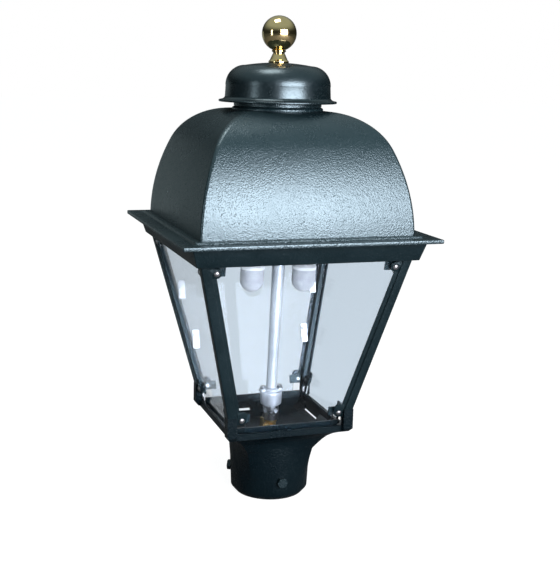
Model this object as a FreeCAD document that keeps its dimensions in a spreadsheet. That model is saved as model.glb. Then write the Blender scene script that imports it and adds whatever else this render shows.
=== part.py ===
"""Post top gas lantern: square glazed head with a domed hinged roof, on a collar for a 3 inch post.

Millimetres, +Z up, front face towards -Y. The origin is the centre of the collar's bottom mouth.
"""
import FreeCAD, Part
import math
import os

import Sketcher

from FreeCAD import Placement, Rotation, Vector

doc = FreeCAD.newDocument("PostTopLantern")

# --------------------------------------------------------------------------- driving dimensions

SIZES = [
    ("postOuter", 76.2, "outer diameter of a 3 inch post"),
    ("boreGap", 0.5, "radial gap between post and collar bore"),
    ("boreDepth", 62.0, "how far the post goes in"),
    ("ledgeRadius", 34.0, "hole above the ledge that rests on the post's end"),
    ("collarLow", 44.7, "collar outer radius above the bottom chamfer"),
    ("collarHigh", 46.3, "collar outer radius at the flare"),
    ("collarFoot", 39.6, "collar outer radius at its mouth, below the chamfer"),
    ("chamferTop", 6.0, "height of the collar's chamfer"),
    ("taperTop", 42.0, "height where the collar reaches its full radius"),
    ("setScrewHeight", 23.0, "height of the set screws"),
    ("setScrewRadius", 4.0, "set screw shank radius"),
    ("floorTop", 74.0, "top of the round floor"),
    ("bandLow", 85.0, "lower edge of the base band"),
    ("bandTop", 92.5, "top of the outer lip of the glass channel"),
    ("bandHalf", 67.6, "half width of the base band"),
    ("upstandTop", 97.0, "top of the inner wall of the glass channel"),
    ("channelOuter", 64.9, "outer half width of the glass channel"),
    ("channelInner", 60.2, "inner half width of the glass channel"),
    ("channelFloor", 89.0, "bottom of the glass channel"),
    ("trayHalf", 57.5, "half width inside the base rim"),
    ("footHalf", 73.4, "outer half width over the feet"),
    ("footSide", 11.0, "side of a square foot"),
    ("footLow", 86.0, "underside of the feet"),
    ("postLow", 113.0, "where the corner posts stand on the feet"),
    ("postHigh", 289.0, "where the corner posts meet the upper frame"),
    ("leanFoot", 45.47, "half width of the glazed pyramid's faces, carried down to height 0"),
    ("leanSlope", 0.2455, "how far each face leans out per millimetre of height"),
    ("postFace", 10.0, "width of the raised face of a corner post"),
    ("postCore", 11.2, "side of a corner post's square core"),
    ("postLip", 15.0, "width over the set back lip"),
    ("lipStep", 1.8, "how far the lip is set back"),
    ("lipBack", 3.5, "depth of the lip's back, where the glass rests"),
    ("glassDepth", 3.6, "depth of the glass behind the posts' faces, square to them"),
    ("glassThick", 3.0, "glass thickness"),
    ("glassLow", 89.6, "lower edge of the panes"),
    ("glassHigh", 295.2, "upper edge of the panes"),
    ("glassInset", 11.6, "from a corner line to the pane's side edge"),
    ("lugHalf", 5.5, "half height of a lug"),
    ("lugRise", 5.0, "extra height of the lower lugs"),
    ("lugScrew", 15.5, "from the corner line to a lug's screw"),
    ("lugHigh", 280.5, "height of the upper lugs"),
    ("lugLow", 108.5, "height of the lower lugs"),
    ("railLow", 289.0, "underside of the upper frame"),
    ("railTop", 309.0, "top of the upper frame"),
    ("railLowHalf", 121.75, "outer half width at the frame's lower edge"),
    ("railTopHalf", 127.5, "outer half width at the frame's top"),
    ("ledgeInner", 109.0, "inner half width of the frame's ledge over the glass"),
    ("ledgeLow", 297.0, "underside of that ledge"),
    ("brimHalf", 140.6, "half width of the roof brim"),
    ("brimTop", 313.4, "top of the brim"),
    ("hoodHalf", 117.6, "half width of the hood where it is widest"),
    ("hoodFoot", 310.0, "height where it is widest"),
    ("hoodSide", 235.0, "radius of the hood's sides"),
    ("hoodShoulder", 62.0, "radius of the hood's shoulders"),
    ("shoulderTurn", 23.5, "degrees of the side arc"),
    ("hoodWall", 3.5, "hood wall thickness"),
    ("ventRadius", 34.0, "hole in the hood's top"),
    ("ventSeat", 443.4, "height of the step in the neck that carries the bridge"),
    ("baffleLow", 424.0, "underside of the heat baffle"),
    ("baffleRadius", 48.0, "radius of the heat baffle"),
    ("neckRadius", 50.2, "outer radius of the neck bead"),
    ("neckTop", 449.0, "top of the neck"),
    ("neckBore", 42.0, "vent hole radius"),
    ("capLip", 65.2, "radius of the cap's flared lip"),
    ("capLipHeight", 448.6, "underside of the cap's lip"),
    ("capBody", 57.9, "radius of the cap's side"),
    ("capShoulder", 21.5, "radius of the cap's shoulder"),
    ("capTop", 491.6, "crown of the cap"),
    ("capWall", 2.5, "cap wall thickness"),
    ("ballRadius", 19.0, "finial ball"),
    ("ballHeight", 522.9, "centre of the finial ball"),
    ("rodRadius", 3.0, "radius of the cap's threaded rod"),
    ("hingeBack", 134.0, "hinge axis, behind the centre"),
    ("hingeHeight", 303.0, "hinge axis height"),
    ("hingeKnuckle", 4.5, "hinge knuckle radius"),
    ("hingePin", 2.5, "hinge pin radius"),
    ("pinGap", 0.05, "radial gap of the hinge pins and of the valve key"),
    ("hingeSpread", 70.0, "from the centre to each hinge"),
    ("tubeLow", 6.0, "burner tube radius at its foot"),
    ("tubeHigh", 7.5, "burner tube radius at its top"),
    ("tubeFoot", 118.5, "underside of the burner tube's flange"),
    ("tubeTop", 268.0, "top of the burner tube"),
    ("burnerLean", 2.2, "lean of the burner, in degrees"),
    ("mantleSpread", 31.0, "from the burner tube to each mantle"),
    ("mantleRadius", 13.6, "mantle radius"),
    ("mantleTop", 262.0, "top of the mantles"),
    ("mantleLow", 236.0, "bottom of the mantles"),
    ("mixerRadius", 12.8, "mixer cup radius"),
    ("airHole", 3.0, "radius of the mixer's air holes"),
    ("airHeight", 96.5, "height of the air holes"),
    ("inletLow", 62.4, "underside of the gas inlet"),
    ("inletRadius", 4.3, "radius of the gas inlet's threaded hole"),
    ("keyHeight", 78.0, "height of the gas valve's key"),
    ("valveTop", 82.5, "top of the gas valve, where the orifice nut stands"),
    ("mixerLow", 84.5, "foot of the mixer cup"),
]


class Size:
    """A number that remembers the sheet expression it comes from, so that it can be bound."""

    def __init__(self, value, text):
        self.value = float(value)
        self.text = text

    def _with(self, other, sign, value):
        return Size(value, "(%s %s %s)" % (self.text, sign, textOf(other)))

    def __add__(self, other):
        return self._with(other, "+", self.value + valueOf(other))

    def __sub__(self, other):
        return self._with(other, "-", self.value - valueOf(other))

    def __mul__(self, other):
        return self._with(other, "*", self.value * valueOf(other))

    def __truediv__(self, other):
        return self._with(other, "/", self.value / valueOf(other))

    def __neg__(self):
        return self * -1

    def __float__(self):
        return self.value


def valueOf(size):
    return size.value if isinstance(size, Size) else float(size)


def textOf(size):
    return size.text if isinstance(size, Size) else repr(float(size))


def root(length):
    return Size(math.sqrt(length.value), "sqrt(%s)" % length.text)


class Sheet:
    """The spreadsheet, read by alias: size.postOuter is a Size."""

    def __init__(self, rows):
        sheet = doc.addObject("Spreadsheet::Sheet", "Sizes")
        sheet.set("A1", "what")
        sheet.set("B1", "value")
        for row, (alias, value, note) in enumerate(rows, start=2):
            sheet.set("A%d" % row, note)
            sheet.set("B%d" % row, str(value))
            sheet.setAlias("B%d" % row, alias)
            setattr(self, alias, Size(value, "Sizes." + alias))


size = Sheet(SIZES)
doc.recompute()

faceTilt = math.degrees(math.atan(size.leanSlope.value))
faceCos = math.cos(math.radians(faceTilt))
holeGap = 0.1           # radial gap of a screw in its threaded hole
passGap = 0.3           # radial gap of a screw in a clearance hole
margin = 1.0            # how far a cutting tool starts outside what it cuts

# --------------------------------------------------------------------------- small helpers


def bind(thing, prop, length):
    """Set a property and tie it to the sheet."""
    setattr(thing, prop, valueOf(length))
    thing.setExpression(prop, textOf(length))


def plane(body, role):
    """One of a body's own origin planes."""
    return [part for part in body.Origin.OriginFeatures if part.Role == role][0]


def newBody(label):
    body = doc.addObject("PartDesign::Body", label)
    body.Label = label
    return body


def sketchOn(body, name, role, offset=None):
    sketch = body.newObject("Sketcher::SketchObject", name)
    sketch.AttachmentSupport = [(plane(body, role), "")]
    sketch.MapMode = "FlatFace"
    if offset is not None:
        sketch.AttachmentOffset = Placement(Vector(0, 0, valueOf(offset)), Rotation())
        sketch.setExpression("AttachmentOffset.Base.z", textOf(offset))
    return sketch


def pin(sketch, kind, edge, end, length):
    """Tie one coordinate of an edge's end to the sheet."""
    row = sketch.addConstraint(Sketcher.Constraint(kind, -1, 1, edge, end, valueOf(length)))
    if isinstance(length, Size):
        sketch.setExpression("Constraints[%d]" % row, length.text)


def arcBetween(start, end, radius, side):
    """Arc of a circle from start to end; side +1 has its centre on the left of the chord."""
    chord = end - start
    middle = (start + end) * 0.5
    rise = math.sqrt(max(radius * radius - chord.Length * chord.Length / 4, 0))
    left = Vector(-chord.y, chord.x, 0).normalize()
    centre = middle + left * (rise * side)
    first = math.atan2(start.y - centre.y, start.x - centre.x)
    last = math.atan2(end.y - centre.y, end.x - centre.x)
    if side < 0:
        first, last = last, first
    circle = Part.Circle(centre, Vector(0, 0, 1), radius)
    return Part.ArcOfCircle(circle, first, last)


def draw(sketch, steps):
    """Close an outline through its corners.

    A step is (x, y) for a straight edge to that corner, or (x, y, radius, side) for an arc to it.
    """
    corners = [Vector(valueOf(step[0]), valueOf(step[1]), 0) for step in steps]
    edges = []
    for number, step in enumerate(steps):
        start, end = corners[number - 1], corners[number]
        if len(step) == 2:
            edges.append((sketch.addGeometry(Part.LineSegment(start, end), False), 1, 2))
        else:
            arc = arcBetween(start, end, valueOf(step[2]), step[3])
            ends = (1, 2) if step[3] > 0 else (2, 1)
            edges.append((sketch.addGeometry(arc, False),) + ends)
    for number, (edge, first, last) in enumerate(edges):
        nextEdge, nextFirst, _ = edges[(number + 1) % len(edges)]
        sketch.addConstraint(Sketcher.Constraint("Coincident", edge, last, nextEdge, nextFirst))
        pin(sketch, "DistanceX", edge, last, steps[number][0])
        pin(sketch, "DistanceY", edge, last, steps[number][1])
        if len(steps[number]) == 4:
            radius = steps[number][2]
            row = sketch.addConstraint(Sketcher.Constraint("Radius", edge, valueOf(radius)))
            if isinstance(radius, Size):
                sketch.setExpression("Constraints[%d]" % row, radius.text)


def revolve(body, name, steps, kind="PartDesign::Revolution"):
    """Turn an outline of (radius, height) steps about the Z axis."""
    sketch = sketchOn(body, name + "Outline", "XZ_Plane")
    draw(sketch, steps)
    spun = body.newObject(kind, name)
    spun.Profile = sketch
    spun.ReferenceAxis = (sketch, ["V_Axis"])
    spun.Angle = 360
    return spun


def turned(label, steps):
    body = newBody(label)
    revolve(body, label + "Turned", steps)
    return body


def pad(body, name, steps, role, low, length):
    """Pad an outline from a plane's offset `low` by `length` along the plane's normal."""
    sketch = sketchOn(body, name + "Outline", role, low)
    draw(sketch, steps)
    grown = body.newObject("PartDesign::Pad", name)
    grown.Profile = sketch
    bind(grown, "Length", length)
    return grown


def pocket(body, name, steps, role, low, length):
    """Cut an outline from a plane's offset `low` by `length` along the plane's normal."""
    sketch = sketchOn(body, name + "Outline", role, low)
    draw(sketch, steps)
    cut = body.newObject("PartDesign::Pocket", name)
    cut.Profile = sketch
    bind(cut, "Length", length)
    cut.Reversed = True
    return cut


def square(half):
    return [(half, half), (-half, half), (-half, -half), (half, -half)]


def box(x0, y0, x1, y1):
    return [(x1, y1), (x0, y1), (x0, y0), (x1, y0)]


def cylinder(name, radius, length, base, direction=Vector(0, 0, 1)):
    thing = doc.addObject("Part::Cylinder", name)
    bind(thing, "Radius", radius)
    bind(thing, "Height", length)
    thing.Placement = Placement(base, Rotation(Vector(0, 0, 1), direction))
    return thing


def block(name, lengths, corner, placement=Placement()):
    thing = doc.addObject("Part::Box", name)
    for prop, length in zip(("Length", "Width", "Height"), lengths):
        bind(thing, prop, length)
    thing.Placement = placement * Placement(corner, Rotation())
    return thing


def joined(label, things):
    fused = doc.addObject("Part::MultiFuse", label)
    fused.Label = label
    fused.Shapes = things
    fused.Refine = True
    return fused


def without(label, whole, tools):
    """Cut one or more tools out of a whole."""
    cut = doc.addObject("Part::Cut", label)
    cut.Label = label
    cut.Base = whole
    cut.Tool = tools[0] if len(tools) == 1 else joined(label + "Tools", tools)
    cut.Refine = True
    return cut


def overlap(label, first, second):
    """What two things have in common."""
    common = doc.addObject("Part::Common", label)
    common.Label = label
    common.Base = first
    common.Tool = second
    return common


def slab(name, half, low, high):
    """Square plate centred on the axis."""
    side = half * 2
    return block(name, (side, side, high - low), Vector(-valueOf(half), -valueOf(half), valueOf(low)))


def group(label, things):
    """Separate solids that share one node."""
    many = doc.addObject("Part::Compound", label)
    many.Label = label
    many.Links = things
    return many


def quarter(number):
    """Turn from the front face to face `number`, going left to right as seen from above."""
    return Placement(Vector(), Rotation(Vector(0, 0, 1), 90 * number))


def bearing(degrees):
    """Level unit vector, counted from +X towards +Y."""
    return Vector(math.cos(math.radians(degrees)), math.sin(math.radians(degrees)), 0)


def level(height):
    return Vector(0, 0, valueOf(height))


def hexagon(name, radius, height, placement):
    prism = doc.addObject("Part::Prism", name)
    prism.Polygon = 6
    bind(prism, "Circumradius", radius)
    bind(prism, "Height", height)
    prism.Placement = placement
    return prism


def faceHalf(height):
    """Half width of the glazed pyramid at a height."""
    return size.leanSlope * height + size.leanFoot


def onFace(number, x, height, depth):
    """Frame on a leaning face: X along it, Y square inwards, Z up the slope."""
    half = size.leanFoot.value + size.leanSlope.value * valueOf(height)
    tilted = Rotation(Vector(1, 0, 0), faceTilt)
    corner = Placement(Vector(valueOf(x), -half, valueOf(height)), tilted)
    inward = Placement(Vector(0, valueOf(depth), 0), Rotation())
    return quarter(number) * corner * inward


# --------------------------------------------------------------------------- base casting

flareFoot = 24.0                        # where the four creases leave the round collar
flareBend = 58.0                        # where they start to run out to the band
flareHeights = (flareFoot, 41.0, flareBend, 65.0, 71.0, 76.0, 80.0, 83.0, size.bandLow.value)
creaseFoot, creaseBend = 0.700, 0.838   # half width over the creases there, in collar radii
bowFoot, bowBend = 0.970, 0.994         # half width at the middle of a side there, in collar radii
leastBow = 0.25
toeTaper = 3.4                          # how far a foot's tapered underside draws in
toeHigh = 4.0
floorThick = 6.0
inletHole = 5.05                        # radius of the floor's hole for the gas inlet
slotWide, slotLong = 5.4, 48.0          # air slots beside the left and right walls
rearSlotWide, rearSlotLong = 8.0, 32.0
drainHole = 3.5
setScrewBearings = (-90, 30, 150)


def flareSection(height):
    """Corner and side-middle half widths of the flare; the creases run out faster than the sides."""
    if height <= flareBend:
        share = (height - flareFoot) / (flareBend - flareFoot)
        corner = size.collarHigh * (creaseFoot + (creaseBend - creaseFoot) * share)
        middle = size.collarHigh * (bowFoot + (bowBend - bowFoot) * share)
        return height, corner, middle
    share = (height - flareBend) / (size.bandLow.value - flareBend)
    corner = size.collarHigh * creaseBend
    corner = corner + (size.bandHalf - corner) * (0.6 * share + 0.4 * share ** 6 - 0.004)
    middle = size.collarHigh * bowBend
    if corner.value + leastBow > middle.value:
        middle = corner + leastBow
    return height, corner, middle


def sideOutline(corner, middle):
    """Square whose sides bow out to `middle`, with creased corners."""
    bow = middle - corner
    radius = (corner * corner + bow * bow) / (bow * 2)
    return [
        (corner, corner, radius, 1),
        (-corner, corner, radius, 1),
        (-corner, -corner, radius, 1),
        (corner, -corner, radius, 1),
    ]


def loft(body, name, sections, kind="PartDesign::AdditiveLoft"):
    """Ruled loft through (height, outline) sections."""
    sketches = []
    for number, (height, steps) in enumerate(sections):
        sketch = sketchOn(body, "%sSection%d" % (name, number), "XY_Plane", height)
        draw(sketch, steps)
        sketches.append(sketch)
    shaped = body.newObject(kind, name)
    shaped.Profile = sketches[0]
    shaped.Sections = sketches[1:]
    shaped.Ruled = True
    return shaped


def frameRing(body, name, outer, inner, low, high):
    """Square ring between two half widths."""
    sketch = sketchOn(body, name + "Outline", "XY_Plane", low)
    draw(sketch, square(outer))
    draw(sketch, square(inner))
    ring = body.newObject("PartDesign::Pad", name)
    ring.Profile = sketch
    bind(ring, "Length", high - low)
    return ring


def fourTimes(body, name, features):
    """Repeat features at the four corners."""
    doc.recompute()
    pattern = body.newObject("PartDesign::PolarPattern", name)
    pattern.Originals = features
    pattern.Axis = (features[0].Profile[0], ["N_Axis"])
    pattern.Angle = 360
    pattern.Occurrences = 4
    body.Tip = pattern
    return pattern


def baseCasting():
    body = newBody("base_whole")
    bore = size.postOuter / 2 + size.boreGap
    revolve(body, "collar", [
        (size.collarFoot, 0), (size.collarLow, size.chamferTop), (size.collarHigh, size.taperTop),
        (size.collarHigh, size.floorTop), (0, size.floorTop), (0, 0),
    ])
    sections = [flareSection(height) for height in flareHeights]
    loft(body, "flare", [(height, sideOutline(corner, middle)) for height, corner, middle in sections])
    pad(body, "deck", square(size.bandHalf), "XY_Plane", size.bandLow, size.channelFloor - size.bandLow)
    frameRing(body, "lip", size.bandHalf, size.channelOuter, size.channelFloor, size.bandTop)
    frameRing(body, "upstand", size.channelInner, size.trayHalf, size.channelFloor, size.upstandTop)
    inner = size.footHalf - size.footSide
    shoulder = size.footLow + toeHigh
    drawn = size.footHalf - toeTaper
    toe = loft(body, "toe", [
        (size.footLow, box(inner, inner, drawn, drawn)),
        (shoulder, box(inner, inner, size.footHalf, size.footHalf)),
    ])
    footSquare = box(inner, inner, size.footHalf, size.footHalf)
    foot = pad(body, "foot", footSquare, "XY_Plane", shoulder, size.postLow - shoulder)
    fourTimes(body, "feet", [toe, foot])
    # the funnel floor, then the post's bore with its ledge and the hole for the gas fitting
    loft(body, "funnel", [
        (size.floorTop, sideOutline(size.collarHigh * 0.67, size.collarHigh * 0.885)),
        (size.floorTop + 7, sideOutline(size.collarHigh * 1.07, size.collarHigh * 1.08)),
        (size.upstandTop - 7.5, sideOutline(size.trayHalf - 0.2, size.trayHalf)),
    ], "PartDesign::SubtractiveLoft")
    deep = size.upstandTop - size.channelFloor + margin
    pocket(body, "tray", square(size.trayHalf), "XY_Plane", size.channelFloor, deep)
    floorLow = size.floorTop - floorThick
    above = size.floorTop + margin
    revolve(body, "bore", [
        (bore, -margin), (bore, size.boreDepth), (size.ledgeRadius, size.boreDepth),
        (size.ledgeRadius, floorLow), (inletHole, floorLow), (inletHole, above), (0, above), (0, -margin),
    ], "PartDesign::Groove")
    return body


def drilledBase():
    """Base casting with its air slots and tapped set screw holes."""
    whole = baseCasting()
    wall = size.trayHalf.value - 0.1
    low = flareHeights[4] - margin
    deep = 20.0
    tools = [
        block("slotRight", (slotWide, slotLong, deep), Vector(wall - slotWide, -12, low)),
        block("slotLeft", (slotWide, slotLong, deep), Vector(-wall, -36, low)),
        block("slotRear", (rearSlotLong, rearSlotWide, deep), Vector(-40, 49, low)),
        cylinder("drainHole", drainHole, deep, Vector(50.5, 46.5, low)),
    ]
    for number, angle in enumerate(setScrewBearings):
        out = bearing(angle)
        start = out * 30 + level(size.setScrewHeight)
        tools.append(cylinder("setHole%d" % number, size.setScrewRadius + holeGap, 25, start, out))
    for number in range(4):
        tools.append(screwHole("footHole%d" % number, number, footScrewEnd, 1))
    return without("base_drilled", whole, tools)


def baseParts():
    """The base, parted at the ledge over the post's end: a collar below, a tray with feet above."""
    whole = drilledBase()
    below = slab("belowLedge", size.footHalf, -1, size.boreDepth)
    return overlap("post_collar", whole, below), without("base_casting", whole, [below])


def setScrews():
    """Hexagon head screws, 120 degrees apart, with their points at the bore."""
    screws = []
    bore = size.postOuter / 2 + size.boreGap
    for number, angle in enumerate(setScrewBearings):
        out = bearing(angle)
        height = level(size.setScrewHeight)
        shank = cylinder("setShank%d" % number, size.setScrewRadius, 9, out * (bore.value + 0.2) + height, out)
        place = Placement(out * (size.collarHigh.value - 0.2) + height, Rotation(Vector(0, 0, 1), out))
        head = hexagon("setHead%d" % number, size.setScrewRadius * 1.5, 4.0, place)
        screws.append(joined("set_screw_%d" % number, [shank, head]))
    return group("set_screws", screws)


# --------------------------------------------------------------------------- corner posts

postAlong = Vector(-size.leanSlope.value, -size.leanSlope.value, 1)
postScrew, postScrewHead = 2.0, 3.4     # radii of the screws along the posts
postScrewInset = 5.6                    # from a post's outer faces to its screws' axis
headHigh, headDeep = 3.8, 5.4           # height of their heads, and depth of the seats
sinkDeep = 7.5                          # length of a counterbore's cutter, from 2 mm outside
sinkGap = 0.4
lugThick = 1.9
lugBack = 0.3                           # how far a lug stands proud of the post's lip
clipScrew, clipScrewHead = 2.0, 3.3     # radii of the screws through the lugs
footScrewEnd = size.footLow.value
railScrewEnd = size.railTop.value


def postPoint(number, height, inset):
    """Point on the axis of a post's square core; inset is measured from its outer corner."""
    half = size.leanFoot.value + size.leanSlope.value * height - inset
    return quarter(number).multVec(Vector(-half, -half, height))


def screwHole(name, number, end, way):
    """Clearance hole and counterbore along a post, from a face at height `end` going `way` up or down."""
    along = quarter(number).multVec(Vector(postAlong)).normalize() * way
    mouth = postPoint(number, end, postScrewInset) - along * 2
    shank = cylinder(name + "Shank", postScrew + holeGap, 40, mouth, along)
    head = cylinder(name + "Head", postScrewHead + sinkGap, sinkDeep, mouth, along)
    return joined(name, [shank, head])


def postScrews():
    """Socket head screws along the posts, four up through the feet and four down through the frame."""
    screws = []
    for number in range(4):
        for end, way in ((footScrewEnd, 1), (railScrewEnd, -1)):
            along = quarter(number).multVec(Vector(postAlong)).normalize() * way
            seat = postPoint(number, end, postScrewInset) + along * headDeep
            name = "postScrew%d%s" % (number, "Foot" if way > 0 else "Rail")
            head = cylinder(name + "Head", postScrewHead, headHigh, seat - along * headHigh, along)
            shank = cylinder(name + "Shank", postScrew, 32, seat, along)
            screws.append(joined(name, [head, shank]))
    return group("post_screws", screws)


def postSection():
    """Section of the front left post: square core, raised faces and a set back lip each way."""
    sketch = doc.addObject("Sketcher::SketchObject", "postSection")
    sketch.Placement = Placement(Vector(0, 0, size.postLow.value), Rotation())
    corner = -faceHalf(size.postLow)
    steps = [
        (0, 0), (size.postFace, 0), (size.postFace, size.lipStep), (size.postLip, size.lipStep),
        (size.postLip, size.lipBack), (size.postCore, size.lipBack), (size.postCore, size.postCore),
        (size.lipBack, size.postCore), (size.lipBack, size.postLip), (size.lipStep, size.postLip),
        (size.lipStep, size.postFace), (0, size.postFace),
    ]
    draw(sketch, [(corner + across, corner + deep) for across, deep in steps])
    return sketch


def lug(name, face, end, height):
    """Rounded lug on a face, at its left (-1) or right (+1) end, with a screw hole."""
    half = faceHalf(height)
    depth = size.lipStep - lugBack
    near = end * (half - size.lugScrew).value
    atFoot = height.value < size.postLow.value
    reach = size.footHalf - size.footSide - 0.1 - half + size.lugScrew if atFoot else size.lugScrew - 6
    rise = size.lugRise if atFoot else size.lugHalf * 0
    left = min(near, near + end * reach.value)
    place = onFace(face, 0, height, depth)
    lengths = (reach, lugThick, size.lugHalf * 2 + rise)
    pieces = [block(name + "Bar", lengths, Vector(left, 0, -size.lugHalf.value), place)]
    if atFoot:
        shin = (size.lugHalf, lugThick, rise)
        left = min(near, near - end * size.lugHalf.value)
        pieces.append(block(name + "Shin", shin, Vector(left, 0, 0), place))
    for number, step in enumerate((0, rise.value) if atFoot else (0,)):
        eye = cylinder("%sEye%d" % (name, number), size.lugHalf, lugThick, Vector())
        eye.Placement = place * Placement(Vector(near, 0, step), Rotation(Vector(1, 0, 0), -90))
        pieces.append(eye)
    return pieces


def lugTool(name, face, end, height, radius, start, length):
    """Cylinder square to a face at a lug's screw, from a depth inwards."""
    half = faceHalf(height)
    tool = cylinder(name, radius, length, Vector())
    near = end * (half - size.lugScrew).value
    tool.Placement = onFace(face, near, height, start) * Placement(Vector(), Rotation(Vector(1, 0, 0), -90))
    return tool


def cornerPost(label, number):
    """One corner post; post 0 stands at the front left and the others are turned from it."""
    bar = doc.addObject("Part::Extrusion", "postBar%d" % number)
    bar.Base = postSection() if number == 0 else doc.getObject("postSection")
    bar.DirMode = "Custom"
    bar.Dir = postAlong
    rise = size.postHigh - size.postLow
    bind(bar, "LengthFwd", rise * postAlong.Length)
    bar.Solid = True
    bar.Placement = quarter(number) * bar.Placement
    pieces = [bar]
    tools = []
    for level, height in (("High", size.lugHigh), ("Low", size.lugLow)):
        for face, end in ((number, -1), ((number + 3) % 4, 1)):
            name = "lug%d%s%d" % (number, level, face)
            pieces += lug(name, face, end, height)
            tools.append(lugTool(name + "Hole", face, end, height, clipScrew + passGap, -2, 8))
    tools.append(screwHole("postTapFoot%d" % number, number, footScrewEnd, 1).Shapes[0])
    tools.append(screwHole("postTapRail%d" % number, number, railScrewEnd, -1).Shapes[0])
    return without(label, joined("postBlank%d" % number, pieces), tools)


# --------------------------------------------------------------------------- glass and its clips

cutInset = 21.0                         # the cut corners' inset from the pane's corner lines
cutRise = 17.0                          # height of a cut corner's slanting edge
clipThick, clipHigh, clipReach = 2.0, 10.0, 10.5
clipEnd = 2.6                           # how far a clip passes its screw towards the post
clipGap = 0.1                           # between the glass and its clips
sideClipHeights = (163.0, 221.5)
sideClipWide, sideClipThick, sideClipHigh = 8.0, 2.4, 22.0
sideScrewRadius, sideScrewHigh, sideScrewStep = 2.6, 2.0, 5.5


def glassPane(label, face):
    """Tapered pane with cut corners that clear the clip screws."""
    def across(height, inset):
        return faceHalf(height) - inset

    notchHigh = size.lugHigh - 12
    notchLow = size.lugLow + 15
    corners = [
        (across(size.glassHigh, cutInset + 3), size.glassHigh),
        (across(notchHigh + cutRise, cutInset + 1), notchHigh + cutRise),
        (across(notchHigh, size.glassInset), notchHigh), (across(notchLow, size.glassInset), notchLow),
        (across(notchLow - cutRise - 1, cutInset - 1), notchLow - cutRise - 1),
        (across(size.glassLow, cutInset - 3), size.glassLow),
    ]
    slope = 1 / faceCos
    right = [(x, height * slope) for x, height in corners]
    left = [(-x, height * slope) for x, height in reversed(corners)]
    body = newBody(label)
    sketch = sketchOn(body, label + "Outline", "XZ_Plane")
    draw(sketch, right + left)
    sheet = body.newObject("PartDesign::Pad", label + "Sheet")
    sheet.Profile = sketch
    bind(sheet, "Length", size.glassThick)
    sheet.Reversed = True
    body.Placement = onFace(face, 0, 0, size.glassDepth)
    return body


def everyLug():
    """Name, face, end and height of each pane lug."""
    for face in range(4):
        for end in (-1, 1):
            for level, height in (("High", size.lugHigh), ("Low", size.lugLow)):
                yield "%s%d%s" % (level, face, "Left" if end < 0 else "Right"), face, end, height


def paneClips():
    """Plates behind the glass corners, threaded for the clip screws."""
    clips = []
    for name, face, end, height in everyLug():
        half = faceHalf(height).value
        near = end * (half - size.lugScrew.value)
        far = near - end * clipReach
        depth = size.glassDepth + size.glassThick + clipGap
        outer = near + end * clipEnd
        low = Vector(min(outer, far), 0, -clipHigh / 2)
        lengths = (abs(outer - far), clipThick, clipHigh)
        plate = block("clipPlate" + name, lengths, low, onFace(face, 0, height, depth))
        hole = lugTool("clipHole" + name, face, end, height, clipScrew + 0.05, 5, 10)
        clips.append(without("paneClip" + name, plate, [hole]))
    return group("pane_clips", clips)


def clipScrews():
    """Domed screws through the lugs into the clips."""
    screws = []
    for name, face, end, height in everyLug():
        start = size.lipStep.value - lugBack
        head = lugTool("clipScrewHead" + name, face, end, height, clipScrewHead, start - 1.9, 1.9)
        shank = lugTool("clipScrewShank" + name, face, end, height, clipScrew, start - 0.5, 9.5)
        screws.append(joined("clipScrew" + name, [head, shank]))
    return group("clip_screws", screws)


def sideClips():
    """Small angle clips half way up the rear pane, against the posts' cores."""
    clips = []
    for height in sideClipHeights:
        half = size.leanFoot.value + size.leanSlope.value * height
        for end in (-1, 1):
            depth = size.glassDepth + size.glassThick + clipGap
            reach = half - size.postCore.value - 2.4
            left = end * reach if end < 0 else end * reach - sideClipWide
            place = onFace(2, 0, height, depth)
            name = "sideClip%d%s" % (height, "Left" if end < 0 else "Right")
            lengths = (sideClipWide, sideClipThick, sideClipHigh)
            clips.append(block(name, lengths, Vector(left, 0, -sideClipHigh / 2), place))
    return group("side_clips", clips)


def sideClipScrews():
    """Two round heads on each side clip."""
    screws = []
    for height in sideClipHeights:
        half = size.leanFoot.value + size.leanSlope.value * height
        for end in (-1, 1):
            for step in (-sideScrewStep, sideScrewStep):
                near = end * (half - size.postCore.value - 2.4 - sideClipWide / 2)
                depth = size.glassDepth + size.glassThick + clipGap + sideClipThick
                name = "sideScrew%d%s%s" % (height, "L" if end < 0 else "R", "Low" if step < 0 else "High")
                head = cylinder(name, sideScrewRadius, sideScrewHigh, Vector())
                away = Placement(Vector(0, 0.05, step), Rotation(Vector(1, 0, 0), -90))
                head.Placement = onFace(2, near, height, depth) * away
                screws.append(head)
    return group("side_clip_screws", screws)


# --------------------------------------------------------------------------- upper frame and hinge

webFoot = 124.0                         # where a rail knuckle's web starts, inside the rail
railKnuckle, roofKnuckle = 9.0, 9.4     # lengths along the hinge
knuckleStep = 9.5                       # from the roof's knuckle to the rail's on each side of it
headRim = 2.0                           # height of the rail's straight head
seatShort = 4.5                         # from the post seats' top to the rail's top
pinLong, pinHead = 28.6, 3.8            # hinge pin's length and its head's radius


def knuckle(name, middle, length, toWall):
    """Hinge knuckle about the hinge axis, with a web to the wall or the brim that carries it."""
    start = Vector(middle - length / 2, size.hingeBack.value, size.hingeHeight.value)
    barrel = cylinder(name + "Barrel", size.hingeKnuckle, length, start, Vector(1, 0, 0))
    side = size.hingeKnuckle * 2
    if toWall:
        corner = Vector(start.x, webFoot, start.z - size.hingeKnuckle.value)
        web = block(name + "Web", (length, size.hingeBack - webFoot, side), corner)
    else:
        tall = size.railTop + brimGap * 2 - size.hingeHeight
        corner = Vector(start.x, start.y - size.hingeKnuckle.value, start.z)
        web = block(name + "Web", (length, side, tall), corner)
    return [barrel, web]


def hingeHole(name, middle):
    start = Vector(middle - 20, size.hingeBack.value, size.hingeHeight.value)
    return cylinder(name, size.hingePin + size.pinGap, 40, start, Vector(1, 0, 0))


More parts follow.
